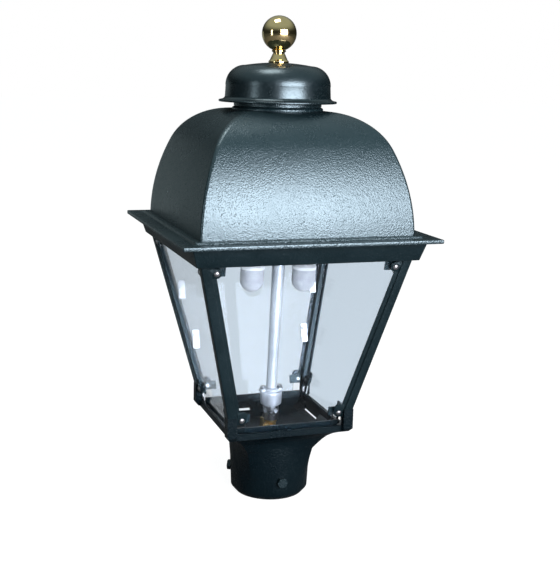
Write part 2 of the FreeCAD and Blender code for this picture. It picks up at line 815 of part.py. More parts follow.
def upperFrame():
    """Square rail with a ledge over the glass, post seats in its corners and hinge knuckles behind."""
    body = newBody("upper_frame_ring")
    shoulder = size.railTop - headRim
    loft(body, "railSlope", [(size.railLow, square(size.railLowHalf)), (shoulder, square(size.railTopHalf))])
    pad(body, "railHead", square(size.railTopHalf), "XY_Plane", shoulder, headRim)
    glassGap = size.glassDepth / faceCos - 0.3
    under = size.railLow - margin
    loft(body, "railThroat", [
        (under, square(faceHalf(under) - glassGap)),
        (size.ledgeLow, square(faceHalf(size.ledgeLow) - glassGap)),
    ], "PartDesign::SubtractiveLoft")
    pocket(body, "railWindow", square(size.ledgeInner), "XY_Plane", under, size.railTop - under + margin)
    inner = faceHalf(size.railLow) - size.postCore + 0.1
    outer = size.railLowHalf - 2
    seat = pad(body, "seat", box(inner, inner, outer, outer), "XY_Plane",
               size.railLow, size.railTop - size.railLow - seatShort)
    fourTimes(body, "seats", [seat])
    pieces = [body]
    tools = []
    for way in (-1, 1):
        middle = way * size.hingeSpread.value
        for step in (-knuckleStep, knuckleStep):
            name = "railKnuckle%d%d" % (way + 1, step > 0)
            pieces += knuckle(name, middle + step, railKnuckle, True)
        tools.append(hingeHole("railHingeHole%d" % (way + 1), middle))
    for number in range(4):
        tools.append(screwHole("railHole%d" % number, number, railScrewEnd, -1))
    return without("upper_frame", joined("upperFrameBlank", pieces), tools)


def hingePins():
    """Headed pins of the two roof hinges."""
    pins = []
    for way in (-1, 1):
        along = Vector(1, 0, 0)
        start = Vector(way * size.hingeSpread.value - 14.5, size.hingeBack.value, size.hingeHeight.value)
        rod = cylinder("hingeRod%d" % (way + 1), size.hingePin, pinLong + 0.5, start, along)
        head = cylinder("hingeHead%d" % (way + 1), pinHead, 2, start - along * 1.7, along)
        pins.append(joined("hingePin%d" % (way + 1), [rod, head]))
    return group("hinge_pins", pins)


# --------------------------------------------------------------------------- roof casting

brimGap = 0.15                          # between the closed brim and the upper frame
ribWide, ribHigh = 6.4, 2.0             # step round the hood's foot
beadRound = 3.2                         # radius of the neck's bead in section
roofScrew = 2.0                         # radius of the baffle's and the bridge's screws
bridgeScrewOut = 38.0                   # from the axis to the bridge's screws
pillarBearings = (30, 150, 270)
pillarOut, pillarRadius = 42.0, 3.6
baffleThick = 1.5


def hoodProfile(inward):
    """Half circle-and-arc profile of the hood, moved in by a wall's thickness."""
    turn = math.radians(size.shoulderTurn.value)
    side = size.hoodSide - inward
    shoulder = size.hoodShoulder - inward
    sideCentre = size.hoodHalf - size.hoodSide
    shoulderX = sideCentre + (size.hoodSide - size.hoodShoulder) * math.cos(turn)
    shoulderZ = size.hoodFoot + (size.hoodSide - size.hoodShoulder) * math.sin(turn)
    touchX = shoulderX + shoulder * math.cos(turn)
    touchZ = shoulderZ + shoulder * math.sin(turn)
    half = size.hoodHalf - inward
    return [
        (half, size.hoodFoot), (touchX, touchZ, side, 1), (shoulderX, shoulderZ + shoulder, shoulder, 1),
        (-shoulderX, shoulderZ + shoulder), (-touchX, touchZ, shoulder, 1), (-half, size.hoodFoot, side, 1),
    ]


def vault(name, inward):
    """Square dome: the part common to two crossing tunnels of one profile."""
    tunnels = []
    for number in range(2):
        sketch = doc.addObject("Sketcher::SketchObject", "%sProfile%d" % (name, number))
        sketch.Placement = Placement(Vector(), Rotation(Vector(1, 0, 0), 90))
        draw(sketch, hoodProfile(inward))
        tunnel = doc.addObject("Part::Extrusion", "%sTunnel%d" % (name, number))
        tunnel.Base = sketch
        tunnel.DirMode = "Normal"
        bind(tunnel, "LengthFwd", size.hoodHalf * 2.2)
        tunnel.Symmetric = True
        tunnel.Solid = True
        tunnel.Placement = Placement(Vector(), Rotation(Vector(0, 0, 1), 90 * number))
        tunnels.append(tunnel)
    return overlap(name, *tunnels)


def roofCasting():
    """Hood, brim and vent neck in one casting, open below."""
    inside = size.hoodHalf - size.hoodWall
    ledgeHalf = size.ledgeInner - 1.2
    ring = without("roofLip", slab("roofLipBlock", ledgeHalf, size.railTop - 4, size.railTop + 1),
                   [slab("roofLipHole", ledgeHalf - 3, size.railTop - 6, size.railTop + 2)])
    tall = 12.0
    neck = turned("roofNeck", [
        (size.neckRadius - 2.4, size.neckTop - tall), (size.neckRadius - 2.4, size.neckTop - 9.6),
        (size.neckRadius, size.neckTop - 7.4, beadRound, 1),
        (size.neckRadius - 1.6, size.neckTop - 4.6, beadRound, 1),
        (size.neckRadius - 2, size.neckTop), (size.neckRadius - 22, size.neckTop),
        (size.neckRadius - 22, size.neckTop - tall),
    ])
    solid = joined("roofSolid", [
        slab("brim", size.brimHalf, size.railTop + brimGap, size.brimTop),
        slab("brimRib", size.hoodHalf + ribWide, size.railTop + 1, size.brimTop + ribHigh),
        vault("hoodOuter", 0), ring, neck,
    ])
    return without("roofShell", solid, [
        vault("hoodInner", size.hoodWall),
        slab("roofMouth", inside, size.railTop + 0.5, size.hoodFoot + 0.2),
        slab("roofMouthLow", ledgeHalf - 3, size.railTop - 1, size.hoodFoot),
        cylinder("ventHole", size.ventRadius, 30, level(size.ventSeat - 13.4)),
        cylinder("ventSeat", size.neckBore, 10, level(size.ventSeat)),
    ])


def roof():
    """Roof casting with its hinge knuckles, the pillars for the baffle, and tapped holes."""
    hinged = [roofCasting()]
    tools = []
    for way in (-1, 1):
        middle = way * size.hingeSpread.value
        hinged += knuckle("roofKnuckle%d" % (way + 1), middle, roofKnuckle, False)
        tools.append(hingeHole("roofHingeHole%d" % (way + 1), middle))
        tap = bearing(0) * bridgeScrewOut * way + level(size.ventSeat - 9.4)
        tools.append(cylinder("bridgeTap%d" % (way + 1), roofScrew + 0.05, 12, tap))
    for number, angle in enumerate(pillarBearings):
        spot = bearing(angle) * pillarOut
        hinged.append(cylinder("pillar%d" % number, pillarRadius, 13.5, spot + level(size.baffleLow + 1.7)))
        tap = spot + level(size.baffleLow - 4)
        tools.append(cylinder("pillarTap%d" % number, roofScrew + 0.05, 14.5, tap))
    return without("roof_casting", joined("roofBlank", hinged), tools)


def baffle():
    """Heat baffle under the vent, and the screws that hold it to the roof's pillars."""
    plate = cylinder("bafflePlate", size.baffleRadius, baffleThick, level(size.baffleLow))
    holes = []
    screws = []
    for number, angle in enumerate(pillarBearings):
        spot = bearing(angle) * pillarOut + level(size.baffleLow)
        holes.append(cylinder("baffleHole%d" % number, roofScrew + passGap, 5, spot - level(2)))
        head = cylinder("baffleHead%d" % number, 3.6, 2.2, spot - level(2.3))
        shank = cylinder("baffleShank%d" % number, roofScrew, 10, spot - level(0.5))
        screws.append(joined("baffleScrew%d" % number, [head, shank]))
    return [without("heat_baffle", plate, holes), group("baffle_screws", screws)]


# --------------------------------------------------------------------------- vent cap and finial

crownRadius = 210.0                     # the cap's crown in section
crownFlat = 12.0                        # radius of its flat middle, under the finial
lipRound = 4.0
lipHigh = 5.6                           # from the lip's underside to the cap's side
finialFoot, finialWaist = 11.2, 6.9     # radii
bridgeLong, bridgeWide, bridgeThick = 81.0, 13.0, 3.0
spacerRadius = 6.0


def ventCap():
    """Round cap with a flared lip, a shoulder and a low crown, of even thickness."""
    low = size.capLipHeight
    shoulderZ = size.capTop - 24.6
    shoulderR = size.capBody - size.capShoulder
    wall = size.capWall
    crown = size.capTop - 0.2
    hole = size.rodRadius + passGap
    outer = [
        (size.capLip, low), (size.capLip, low + 1.8), (size.capLip - 4.6, low + 3.0),
        (size.capBody + 0.4, low + lipHigh, lipRound, -1), (size.capBody, shoulderZ),
        (shoulderR, shoulderZ + size.capShoulder, size.capShoulder, 1),
        (crownFlat, crown, crownRadius, 1), (hole, crown),
    ]
    inner = [
        (hole, crown - wall), (crownFlat, crown - wall),
        (shoulderR, shoulderZ + size.capShoulder - wall, -wall + crownRadius, -1),
        (size.capBody - wall, shoulderZ, size.capShoulder - wall, -1),
        (size.capBody - wall, low + 4.4), (size.capBody - wall + 2.4, low),
    ]
    return turned("vent_cap", outer + inner)


def finial():
    """Ball on a waisted foot, tapped for the rod."""
    ball = size.ballRadius
    meet = size.ballHeight - root(ball * ball - finialWaist ** 2)
    foot = size.capTop - 0.2
    tap = size.rodRadius + holeGap
    return turned("finial", [
        (finialFoot, foot), (finialFoot, foot + 1.6), (finialWaist, foot + 8.6, 9, -1), (finialWaist, meet),
        (0, size.ballHeight + ball, ball, 1), (0, meet + 3), (tap, meet + 1), (tap, foot),
    ])


def capFixings():
    """Bridge across the neck, with the rod, nut, spacer and screws that carry the cap."""
    low = size.ventSeat
    top = low + bridgeThick
    corner = Vector(-bridgeLong / 2, -bridgeWide / 2, low.value)
    bar = block("bridgeBar", (bridgeLong, bridgeWide, bridgeThick), corner)
    holes = [cylinder("bridgeBore", size.rodRadius + holeGap, 8, level(low - 2.4))]
    screws = []
    for way in (-1, 1):
        name = "bridgeScrew%d" % (way + 1)
        spot = bearing(0) * bridgeScrewOut * way
        holes.append(cylinder(name + "Hole", roofScrew + passGap, 8, spot + level(low - 2.4)))
        head = cylinder(name + "Head", 3.4, 2.2, spot + level(top + 0.05))
        shank = cylinder(name + "Shank", roofScrew, 9, spot + level(low - 5.8))
        screws.append(joined(name, [head, shank]))
    nutHigh = 5.0
    nut = hexagon("nutHex", size.rodRadius * 1.9, nutHigh, Placement(level(low - nutHigh - 0.1), Rotation()))
    nutBore = cylinder("nutBore", size.rodRadius + holeGap, 8, level(low - 6.4))
    rod = cylinder("cap_rod", size.rodRadius, 68, level(low - 7.4))
    rod.Label = "cap_rod"
    underCrown = size.capTop - size.capWall - 0.2
    spacer = turned("cap_spacer", box(size.rodRadius + 0.2, top, spacerRadius, underCrown))
    return [without("cap_bridge", bar, holes), group("bridge_screws", screws),
            without("rod_nut", nut, [nutBore]), rod, spacer]


# --------------------------------------------------------------------------- gas train and burner

leanFrom = level(121)                   # the burner leans about this point
lean = Placement(leanFrom, Rotation(Vector(0, 1, 0), size.burnerLean.value)) * Placement(-leanFrom, Rotation())
keyBearing = -153
keyOut = bearing(keyBearing)
keyShaft = 1.9
barrelRadius, barrelLong = 3.7, 12.0
hexRadius, hexHigh = 9.5, 5.6
valveRadius, valveNeck = 6.6, 4.0
jetFlange, jetRadius = 7.8, 2.6         # orifice nut
throat, shank = 5.2, 8.0                # the mixer's bore, and the seat of its air shutter
airBearings = (25, 115, 205, 295)
flangeHub, flangeEar, flangeOut, flangeThick = 9.0, 4.2, 10.4, 3.0
flangeScrew = 1.6
tubeWall = 1.5
armHigh, armRadius = 9.0, 5.5           # the tee's cross tube, and its height above the riser's end
feedRadius = 3.6                        # bore of the tee's arms and of the nozzles
nozzleRadius = 14.0
mantleThick = 0.7


def gasInlet():
    """Hexagonal inlet under the floor with a neck through it."""
    low = size.inletLow
    body = hexagon("inletHex", hexRadius, hexHigh, Placement(level(low), Rotation()))
    neck = cylinder("inletNeck", inletHole - 0.1, 7.0, level(size.floorTop - 7))
    hole = cylinder("inletBore", size.inletRadius, 8, level(low))
    return without("gas_inlet_fitting", joined("inletBlank", [body, neck]), [hole])


def gasValve():
    """Plug valve on the floor, its barrel pointing to the front left."""
    low, top = size.floorTop, size.valveTop
    trunk = turned("valveTrunk", [
        (0, low), (valveRadius, low), (valveRadius, top - 2.9), (valveNeck, top - 1.9),
        (valveNeck, top), (0, top),
    ])
    barrel = cylinder("valveBarrel", barrelRadius, barrelLong, level(size.keyHeight), keyOut)
    plug = cylinder("valvePlug", size.pinGap + keyShaft, barrelLong, keyOut * 4 + level(size.keyHeight), keyOut)
    return without("gas_valve", joined("valveBlank", [trunk, barrel]), [plug])


def valveKey():
    """Quarter turn key: a shaft in the valve's barrel with a lever that points up when open."""
    height = level(size.keyHeight)
    end = keyOut * (barrelLong + 0.4) + height
    shaft = cylinder("keyShaft", keyShaft, 10.2, keyOut * 4.3 + height, keyOut)
    hub = cylinder("keyHub", 3.2, 2.4, end, keyOut)
    turn = Placement(end, Rotation(Vector(0, 0, 1), keyBearing))
    lever = block("keyLever", (2.4, 4.4, 11), Vector(0, -2.2, 0), turn)
    return joined("valve_key", [shaft, hub, lever])


def mixer():
    """Orifice nut, mixer cup and air shutter, one above the other."""
    low, seat = size.valveTop, size.mixerLow
    nut = turned("orifice_nut", [
        (0, low), (jetFlange, low), (jetFlange, seat), (jetRadius, seat), (jetRadius, low + 7.5),
        (1.4, low + 9.5), (0, low + 9.5),
    ])
    cup = turned("mixerBlank", [
        (throat, seat), (shank, seat), (shank, seat + 17.1), (11.9, seat + 19.1), (size.mixerRadius, seat + 32),
        (size.mixerRadius, size.tubeFoot), (throat, size.tubeFoot),
    ])
    sleeve = turned("shutterSleeve", box(shank + 0.06, seat + 0.5, shank + 1.3, seat + 16.7))
    tab = block("shutterTab", (4.4, 2.2, 6), Vector(8.9, -1.1, seat.value + 3.5),
                Placement(Vector(), Rotation(Vector(0, 0, 1), 70)))
    cupTools = []
    sleeveTools = []
    for number, angle in enumerate(airBearings):
        out = bearing(angle)
        start = out * 4 + level(size.airHeight)
        cupTools.append(cylinder("cupAir%d" % number, size.airHole, 8, start, out))
        sleeveTools.append(cylinder("sleeveAir%d" % number, size.airHole, 8, start, out))
    for way in (-1, 1):
        spot = Vector(flangeOut * way, 0, size.tubeFoot.value - 10.5)
        cupTools.append(cylinder("cupTap%d" % (way + 1), flangeScrew + 0.05, 12, spot))
    cup = without("mixer_cup", cup, cupTools)
    shutter = without("air_shutter", joined("shutterBlank", [sleeve, tab]), sleeveTools)
    return [nut, cup, shutter]


def riserTube():
    """Tapered burner tube on an oval flange; the tube leans a little to the right."""
    top = size.tubeFoot + flangeThick
    taper = 155.0
    tube = turned("tubeBlank", [
        (0, top - 1), (size.tubeLow, top - 1), (size.tubeLow, taper), (size.tubeHigh, size.tubeTop),
        (0, size.tubeTop),
    ])
    under, over = size.tubeFoot - 6.5, size.tubeTop + 5
    bore = turned("tubeBore", [
        (0, under), (size.tubeLow - 1.6, under), (size.tubeLow - 1.6, taper), (size.tubeHigh - tubeWall, over),
        (0, over),
    ])
    tube.Placement = lean
    bore.Placement = lean
    oval = [cylinder("flangeHub", flangeHub, flangeThick, level(size.tubeFoot))]
    holes = [bore]
    screws = []
    for way in (-1, 1):
        spot = Vector(flangeOut * way, 0, size.tubeFoot.value)
        oval.append(cylinder("flangeEar%d" % (way + 1), flangeEar, flangeThick, spot))
        holes.append(cylinder("flangeHole%d" % (way + 1), flangeScrew + 0.2, 6, spot - level(margin)))
        head = cylinder("flangeHead%d" % (way + 1), 3.0, 3.4, spot + level(flangeThick))
        rod = cylinder("flangeShank%d" % (way + 1), flangeScrew, 12, spot - level(8.5))
        screws.append(joined("flangeScrew%d" % (way + 1), [head, rod]))
    whole = joined("riserBlank", [joined("flangeOval", oval), tube])
    return [without("riser_tube", whole, holes), group("flange_screws", screws)]


def burnerTee():
    """Cross tube that feeds both nozzles."""
    high = size.tubeTop.value
    spread = size.mantleSpread.value
    arm = Vector(-spread, 0, high + armHigh)
    solid = [cylinder("teeHub", 9.5, 16, level(high))]
    hollow = [cylinder("teeHubBore", 5.5, 11, level(high - 1))]
    solid.append(cylinder("teeArm", armRadius, 2 * spread, arm, Vector(1, 0, 0)))
    hollow.append(cylinder("teeArmBore", feedRadius, 2 * spread, arm, Vector(1, 0, 0)))
    for way in (-1, 1):
        spot = Vector(spread * way, 0, high)
        solid.append(cylinder("teeDrop%d" % (way + 1), 7.2, 15, spot))
        hollow.append(cylinder("teeDropBore%d" % (way + 1), feedRadius, 10, spot - level(margin)))
    tee = without("burner_tee", joined("teeSolid", solid), hollow)
    tee.Placement = lean
    return tee


def nozzle(label, way):
    """Ceramic nozzle: a flanged ring with a bore."""
    low = size.mantleTop
    high = size.tubeTop
    piece = turned(label, [
        (feedRadius, low - 2), (6.0, low - 2), (6.0, low), (nozzleRadius, low), (nozzleRadius, high - 2.6),
        (nozzleRadius - 3.5, high), (feedRadius, high),
    ])
    piece.Placement = lean * Placement(Vector(size.mantleSpread.value * way, 0, 0), Rotation())
    return piece


def mantle(label, way):
    """Thin rounded mantle that hangs below its nozzle."""
    radius = size.mantleRadius
    inner = radius - mantleThick
    middle = size.mantleLow + radius
    top = size.mantleTop
    piece = turned(label, [
        (0, size.mantleLow), (radius, middle, radius, 1), (radius - 0.4, top), (inner - 0.4, top),
        (inner, middle), (0, size.mantleLow + mantleThick, inner, -1),
    ])
    piece.Placement = lean * Placement(Vector(size.mantleSpread.value * way, 0, 0), Rotation())
    return piece


# --------------------------------------------------------------------------- build, check and write

corners = ("front_left", "front_right", "rear_right", "rear_left")
faces = ("front", "right", "rear", "left")

nodes = dict(zip(("post_collar", "base_casting"), baseParts()))
nodes["set_screws"] = setScrews()
for number, corner in enumerate(corners):
    nodes["corner_post_" + corner] = cornerPost("corner_post_" + corner, number)
nodes["post_screws"] = postScrews()
nodes["upper_frame"] = upperFrame()
for number, face in enumerate(faces):
    nodes["glass_pane_" + face] = glassPane("glass_pane_" + face, number)
nodes["pane_clips"] = paneClips()
nodes["clip_screws"] = clipScrews()
nodes["side_clips"] = sideClips()
nodes["side_clip_screws"] = sideClipScrews()
nodes["hinge_pins"] = hingePins()
nodes["roof_casting"] = roof()
nodes["heat_baffle"], nodes["baffle_screws"] = baffle()
nodes["vent_cap"] = ventCap()
nodes["finial"] = finial()
names = ("cap_bridge", "bridge_screws", "rod_nut", "cap_rod", "cap_spacer")
nodes.update(zip(names, capFixings()))
nodes["gas_inlet_fitting"] = gasInlet()
nodes["gas_valve"] = gasValve()
nodes["valve_key"] = valveKey()
nodes.update(zip(("orifice_nut", "mixer_cup", "air_shutter"), mixer()))
nodes.update(zip(("riser_tube", "flange_screws"), riserTube()))
nodes["burner_tee"] = burnerTee()
for way, side in ((-1, "left"), (1, "right")):
    nodes["nozzle_" + side] = nozzle("nozzle_" + side, way)
    nodes["mantle_" + side] = mantle("mantle_" + side, way)
doc.recompute()

for thing in doc.Objects:
    if "Invalid" in thing.State or "Error" in thing.State:
        raise SystemExit("failed feature: %s %s" % (thing.Name, thing.State))
for name, thing in nodes.items():
    if thing.Shape.isNull() or not thing.Shape.isValid():
        raise SystemExit("bad shape: " + name)

os.makedirs("parts", exist_ok=True)
for name, thing in nodes.items():
    thing.Shape.exportStep("parts/%s.step" % name)
    bounds = thing.Shape.BoundBox
    print("%-26s %2d solids %9.0f mm3  x %7.1f %7.1f  y %7.1f %7.1f  z %6.1f %6.1f" % (
        name, len(thing.Shape.Solids), thing.Shape.Volume, bounds.XMin, bounds.XMax,
        bounds.YMin, bounds.YMax, bounds.ZMin, bounds.ZMax))
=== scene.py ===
import math

import bmesh
import bpy
import numpy as np

from mathutils import Matrix, Vector


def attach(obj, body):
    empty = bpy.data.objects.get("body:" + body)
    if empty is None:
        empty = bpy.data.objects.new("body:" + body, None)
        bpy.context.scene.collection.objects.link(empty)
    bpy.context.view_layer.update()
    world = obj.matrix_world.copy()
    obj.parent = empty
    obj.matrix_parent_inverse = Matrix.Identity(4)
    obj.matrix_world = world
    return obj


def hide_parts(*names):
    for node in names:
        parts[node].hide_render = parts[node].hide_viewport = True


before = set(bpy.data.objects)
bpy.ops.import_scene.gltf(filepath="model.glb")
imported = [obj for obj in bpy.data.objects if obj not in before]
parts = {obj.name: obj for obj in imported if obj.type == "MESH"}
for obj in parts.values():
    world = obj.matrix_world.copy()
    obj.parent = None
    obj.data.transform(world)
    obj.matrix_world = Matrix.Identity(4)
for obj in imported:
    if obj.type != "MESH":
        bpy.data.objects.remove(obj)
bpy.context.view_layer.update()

# Lengths in the dictionaries are millimetres, as on a drawing; addPiece turns them into metres.
mm = 0.001
leanFoot = 45.47        # half width of the glazed pyramid, carried down to height 0
leanSlope = 0.2455      # how far each face leans out per millimetre of height


def leanHalf(height):
    return leanFoot + leanSlope * height


# ---- shells: a shell is (points, faces); every one is a closed surface

def rounded(corners, radii, steps=4):
    # Closed outline whose corners become arcs: each arc touches both neighbouring sides.
    corners = np.asarray(corners, float)
    radii = np.broadcast_to(np.asarray(radii, float), len(corners))
    outline = []
    for i, corner in enumerate(corners):
        before = corners[i - 1] - corner
        after = corners[(i + 1) % len(corners)] - corner
        reach = min(np.linalg.norm(before), np.linalg.norm(after)) * 0.49
        before = before / np.linalg.norm(before)
        after = after / np.linalg.norm(after)
        half = 0.5 * math.acos(np.clip(before @ after, -1, 1))
        if radii[i] <= 0 or half > 1.5:
            outline.append(corner[None])
            continue
        radius = min(radii[i], reach * math.tan(half))
        bisector = (before + after) / np.linalg.norm(before + after)
        centre = corner + bisector * radius / math.sin(half)
        t = np.linspace(-1, 1, steps + 1)[:, None] * (math.pi / 2 - half)
        side = after - before
        side = side / np.linalg.norm(side)
        outline.append(centre - bisector * radius * np.cos(t) + side * radius * np.sin(t))
    return np.concatenate(outline)


def closedShell(rows, closed=False):
    # Rows of points, each row a loop. closed joins the last row to the first; otherwise the ends
    # are capped, by a fan where a row has shrunk to a point and by one flat face where it hasn't.
    n, m = rows.shape[:2]
    points = rows.reshape(-1, 3)
    i, j = np.meshgrid(np.arange(n if closed else n - 1), np.arange(m), indexing="ij")
    k, l = (i + 1) % n, (j + 1) % m
    quads = np.stack([i * m + j, i * m + l, k * m + l, k * m + j], -1).reshape(-1, 4)
    if closed:
        return outward(points, quads.tolist())
    faces = []
    first, last = np.ptp(rows[0], 0).max() < 1e-6, np.ptp(rows[-1], 0).max() < 1e-6
    low, high = (m if first else 0), len(quads) - (m if last else 0)
    faces += quads[low:high].tolist()
    ring = np.arange(m)
    if first:
        faces += np.stack([ring * 0, m + (ring + 1) % m, m + ring], -1).tolist()
    else:
        faces.append(ring[::-1].tolist())
    end = (n - 1) * m
    if last:
        faces += np.stack([ring * 0 + end, end - m + ring, end - m + (ring + 1) % m], -1).tolist()
    else:
        faces.append((end + ring).tolist())
    used = np.unique(np.concatenate([np.asarray(f).ravel() for f in faces]))
    renumber = np.zeros(len(points), int)
    renumber[used] = np.arange(len(used))
    return outward(points[used], [renumber[f].tolist() for f in faces])


def outward(points, faces):
    # The signed volume tells which way the faces point; a shell that is inside out is turned.
    volume = 0.0
    for size in set(len(f) for f in faces):
        some = points[np.array([f for f in faces if len(f) == size])]
        for corner in range(1, size - 1):
            volume += np.einsum("ij,ij->i", some[:, 0], np.cross(some[:, corner], some[:, corner + 1])).sum()
    if volume < 0:
        faces = [f[::-1] for f in faces]
    return points, faces


def lathe(profile, steps=72, closed=False):
    # Profile (radius, height) turned about Z: x = r cos a, y = r sin a.
    profile = np.asarray(profile, float)
    angle = np.linspace(0, 2 * math.pi, steps, endpoint=False)
    rows = np.stack([
        profile[:, :1] * np.cos(angle), profile[:, :1] * np.sin(angle),
        np.repeat(profile[:, 1:2], steps, 1),
    ], -1)
    return closedShell(rows, closed)


def squareRows(half, height, radius, steps=6):
    # Square loops of half width `half` with corners of `radius`, one row per height.
    half, height, radius = (np.asarray(v, float)[:, None] for v in (half, height, radius))
    quarter = np.arange(4)[:, None] * 90 + np.linspace(0, 90, steps + 1)
    angle = np.radians(quarter).reshape(1, -1)
    middle = np.radians(np.repeat(np.arange(4) * 90 + 45, steps + 1))[None]
    reach = (half - radius) * math.sqrt(2)
    x = reach * np.cos(middle) + radius * np.cos(angle)
    y = reach * np.sin(middle) + radius * np.sin(angle)
    return np.stack([x, y, np.broadcast_to(height, x.shape)], -1)


def squareRing(outline, corner, steps=5):
    # Closed outline of (half width, height) carried round a square, with corners of radius `corner`.
    outline = np.asarray(outline, float)
    radius = np.clip(corner + outline[:, 0] - outline[:, 0].max(), 0.4, None)
    return closedShell(squareRows(outline[:, 0], outline[:, 1], radius, steps), True)


def prism(outline, start, end):
    # Flat outline (x, y) carried from one place to another; start and end are 4 by 4 matrices.
    flat = np.column_stack([outline, np.zeros(len(outline)), np.ones(len(outline))])
    rows = np.stack([(flat @ np.asarray(m).T)[:, :3] for m in (start, end)])
    return closedShell(rows)


def tablet(outline, low, high, edge=0.4, steps=3):
    # Plate of an (x, y) outline from height low to high, whose rims are rounded by `edge`.
    outline = np.asarray(outline, float)
    following = np.roll(outline, -1, 0) - np.roll(outline, 1, 0)
    turn = np.sum(outline[:, 0] * np.roll(outline[:, 1], -1) - outline[:, 1] * np.roll(outline[:, 0], -1))
    normal = np.stack([following[:, 1], -following[:, 0]], -1) * (1 if turn > 0 else -1)
    normal /= np.linalg.norm(normal, axis=1, keepdims=True) + 1e-9
    t = np.linspace(0, math.pi / 2, steps + 1)
    inset = np.concatenate([edge * (1 - np.sin(t)), edge * (1 - np.cos(t))])
    height = np.concatenate([low + edge * (1 - np.cos(t)), high - edge * (1 - np.sin(t))])
    rows = outline[None] - normal[None] * inset[:, None, None]
    level = np.broadcast_to(height[:, None, None], rows.shape[:2] + (1,))
    return closedShell(np.concatenate([rows, level], -1))


def moved(shell, matrix):
    points, faces = shell
    matrix = np.asarray(matrix, float)
    return points @ matrix[:3, :3].T + matrix[:3, 3], faces


def at(x=0.0, y=0.0, z=0.0, turn=None, axis="Z"):
    # Place: a turn in degrees about one axis, then a shift.
    matrix = np.eye(4)
    if turn is not None:
        c, s = math.cos(math.radians(turn)), math.sin(math.radians(turn))
        i, j = {"X": (1, 2), "Y": (2, 0), "Z": (0, 1)}[axis]
        matrix[i, i], matrix[i, j], matrix[j, i], matrix[j, j] = c, -s, s, c
    matrix[:3, 3] = (x, y, z)
    return matrix


def alongX(x, y, z):
    # Local Z points along +X.
    return at(x, y, z) @ at(turn=90, axis="Y")


def onFace(face, x, height, depth):
    # Place on a leaning face: local X runs along it, Y square inwards, Z up the slope.
    tilt = math.atan(leanSlope)
    inward = np.array([0, math.cos(tilt), math.sin(tilt)])
    matrix = at(turn=math.degrees(tilt), axis="X")
    matrix[:3, 3] = np.array([x, -leanHalf(height), height]) + inward * depth
    return at(turn=90 * face) @ matrix


def outOfFace(face, x, height, depth):
    # Place on a leaning face with local Z pointing straight out of it.
    return onFace(face, x, height, depth) @ at(turn=90, axis="X")


def addPiece(name, shells, material, body, hides, sharp=32):
    # One piece of several shells; edges sharper than `sharp` degrees stay hard.
    points, faces, start = [], [], 0
    for shellPoints, shellFaces in shells:
        points.append(np.asarray(shellPoints) * mm)
        faces += [[start + v for v in f] for f in shellFaces]
        start += len(shellPoints)
    mesh = bpy.data.meshes.new(name)
    mesh.from_pydata(np.concatenate(points).tolist(), [], faces)
    mesh.validate()
    mesh.shade_smooth()
    mesh.set_sharp_from_angle(angle=math.radians(sharp))
    mesh.materials.append(material)
    piece = bpy.data.objects.new(name, mesh)
    bpy.context.scene.collection.objects.link(piece)
    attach(piece, body)
    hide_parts(*hides)


def dress(material, *names):
    # A node of the frame keeps its shape and takes a material.
    for name in names:
        part = parts[name]
        part.data.materials.clear()
        part.data.materials.append(material)


# Weld distance in metres, three angles in degrees, and the edges' bevel in millimetres.
casting = {"weld": 2e-6, "flat": 0.6, "sharp": 34, "bevelFrom": 38, "edge": 0.8}


def smoothCopy(node, name, material, body):
    # Copy of a node's mesh, welded, with curved faces shaded smooth and its sharp edges rounded.
    mesh = parts[node].data.copy()
    mesh.name = name
    work = bmesh.new()
    work.from_mesh(mesh)
    bmesh.ops.remove_doubles(work, verts=work.verts, dist=casting["weld"])
    flat = math.radians(casting["flat"])
    bmesh.ops.dissolve_limit(work, angle_limit=flat, verts=work.verts, edges=work.edges)
    bmesh.ops.recalc_face_normals(work, faces=work.faces)
    work.to_mesh(mesh)
    work.free()
    mesh.transform(parts[node].matrix_world)
    mesh.shade_smooth()
    mesh.set_sharp_from_angle(angle=math.radians(casting["sharp"]))
    mesh.materials.clear()
    mesh.materials.append(material)
    piece = bpy.data.objects.new(name, mesh)
    bpy.context.scene.collection.objects.link(piece)
    bevel = piece.modifiers.new("edges", "BEVEL")
    bevel.width = casting["edge"] * mm
    bevel.segments = 2
    bevel.limit_method = "ANGLE"
    bevel.angle_limit = math.radians(casting["bevelFrom"])
    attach(piece, body)
    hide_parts(node)


# ---- node groups shared by the materials

def newGroup(name, inputs, outputs):
    group = bpy.data.node_groups.new(name, "ShaderNodeTree")
    for label, kind, value in inputs:
        socket = group.interface.new_socket(name=label, in_out="INPUT", socket_type=kind)
        if value is not None:
            socket.default_value = value
    for label, kind in outputs:
        group.interface.new_socket(name=label, in_out="OUTPUT", socket_type=kind)
    return group, group.nodes.new("NodeGroupInput"), group.nodes.new("NodeGroupOutput")


def math2(tree, operation, first, second=None, clamp=False):
    node = tree.nodes.new("ShaderNodeMath")
    node.operation = operation
    node.use_clamp = clamp
    for socket, value in zip(node.inputs, (first, second)):
        if value is None:
            continue
        if isinstance(value, (int, float)):
            socket.default_value = value
        else:
            tree.links.new(value, socket)
    return node.outputs[0]


def noise(tree, vector, scale, detail=3.0, roughness=0.5):
    node = tree.nodes.new("ShaderNodeTexNoise")
    tree.links.new(vector, node.inputs["Vector"])
    for label, value in (("Scale", scale), ("Detail", detail), ("Roughness", roughness)):
        if isinstance(value, (int, float)):
            node.inputs[label].default_value = value
        else:
            tree.links.new(value, node.inputs[label])
    return node.outputs["Fac"]


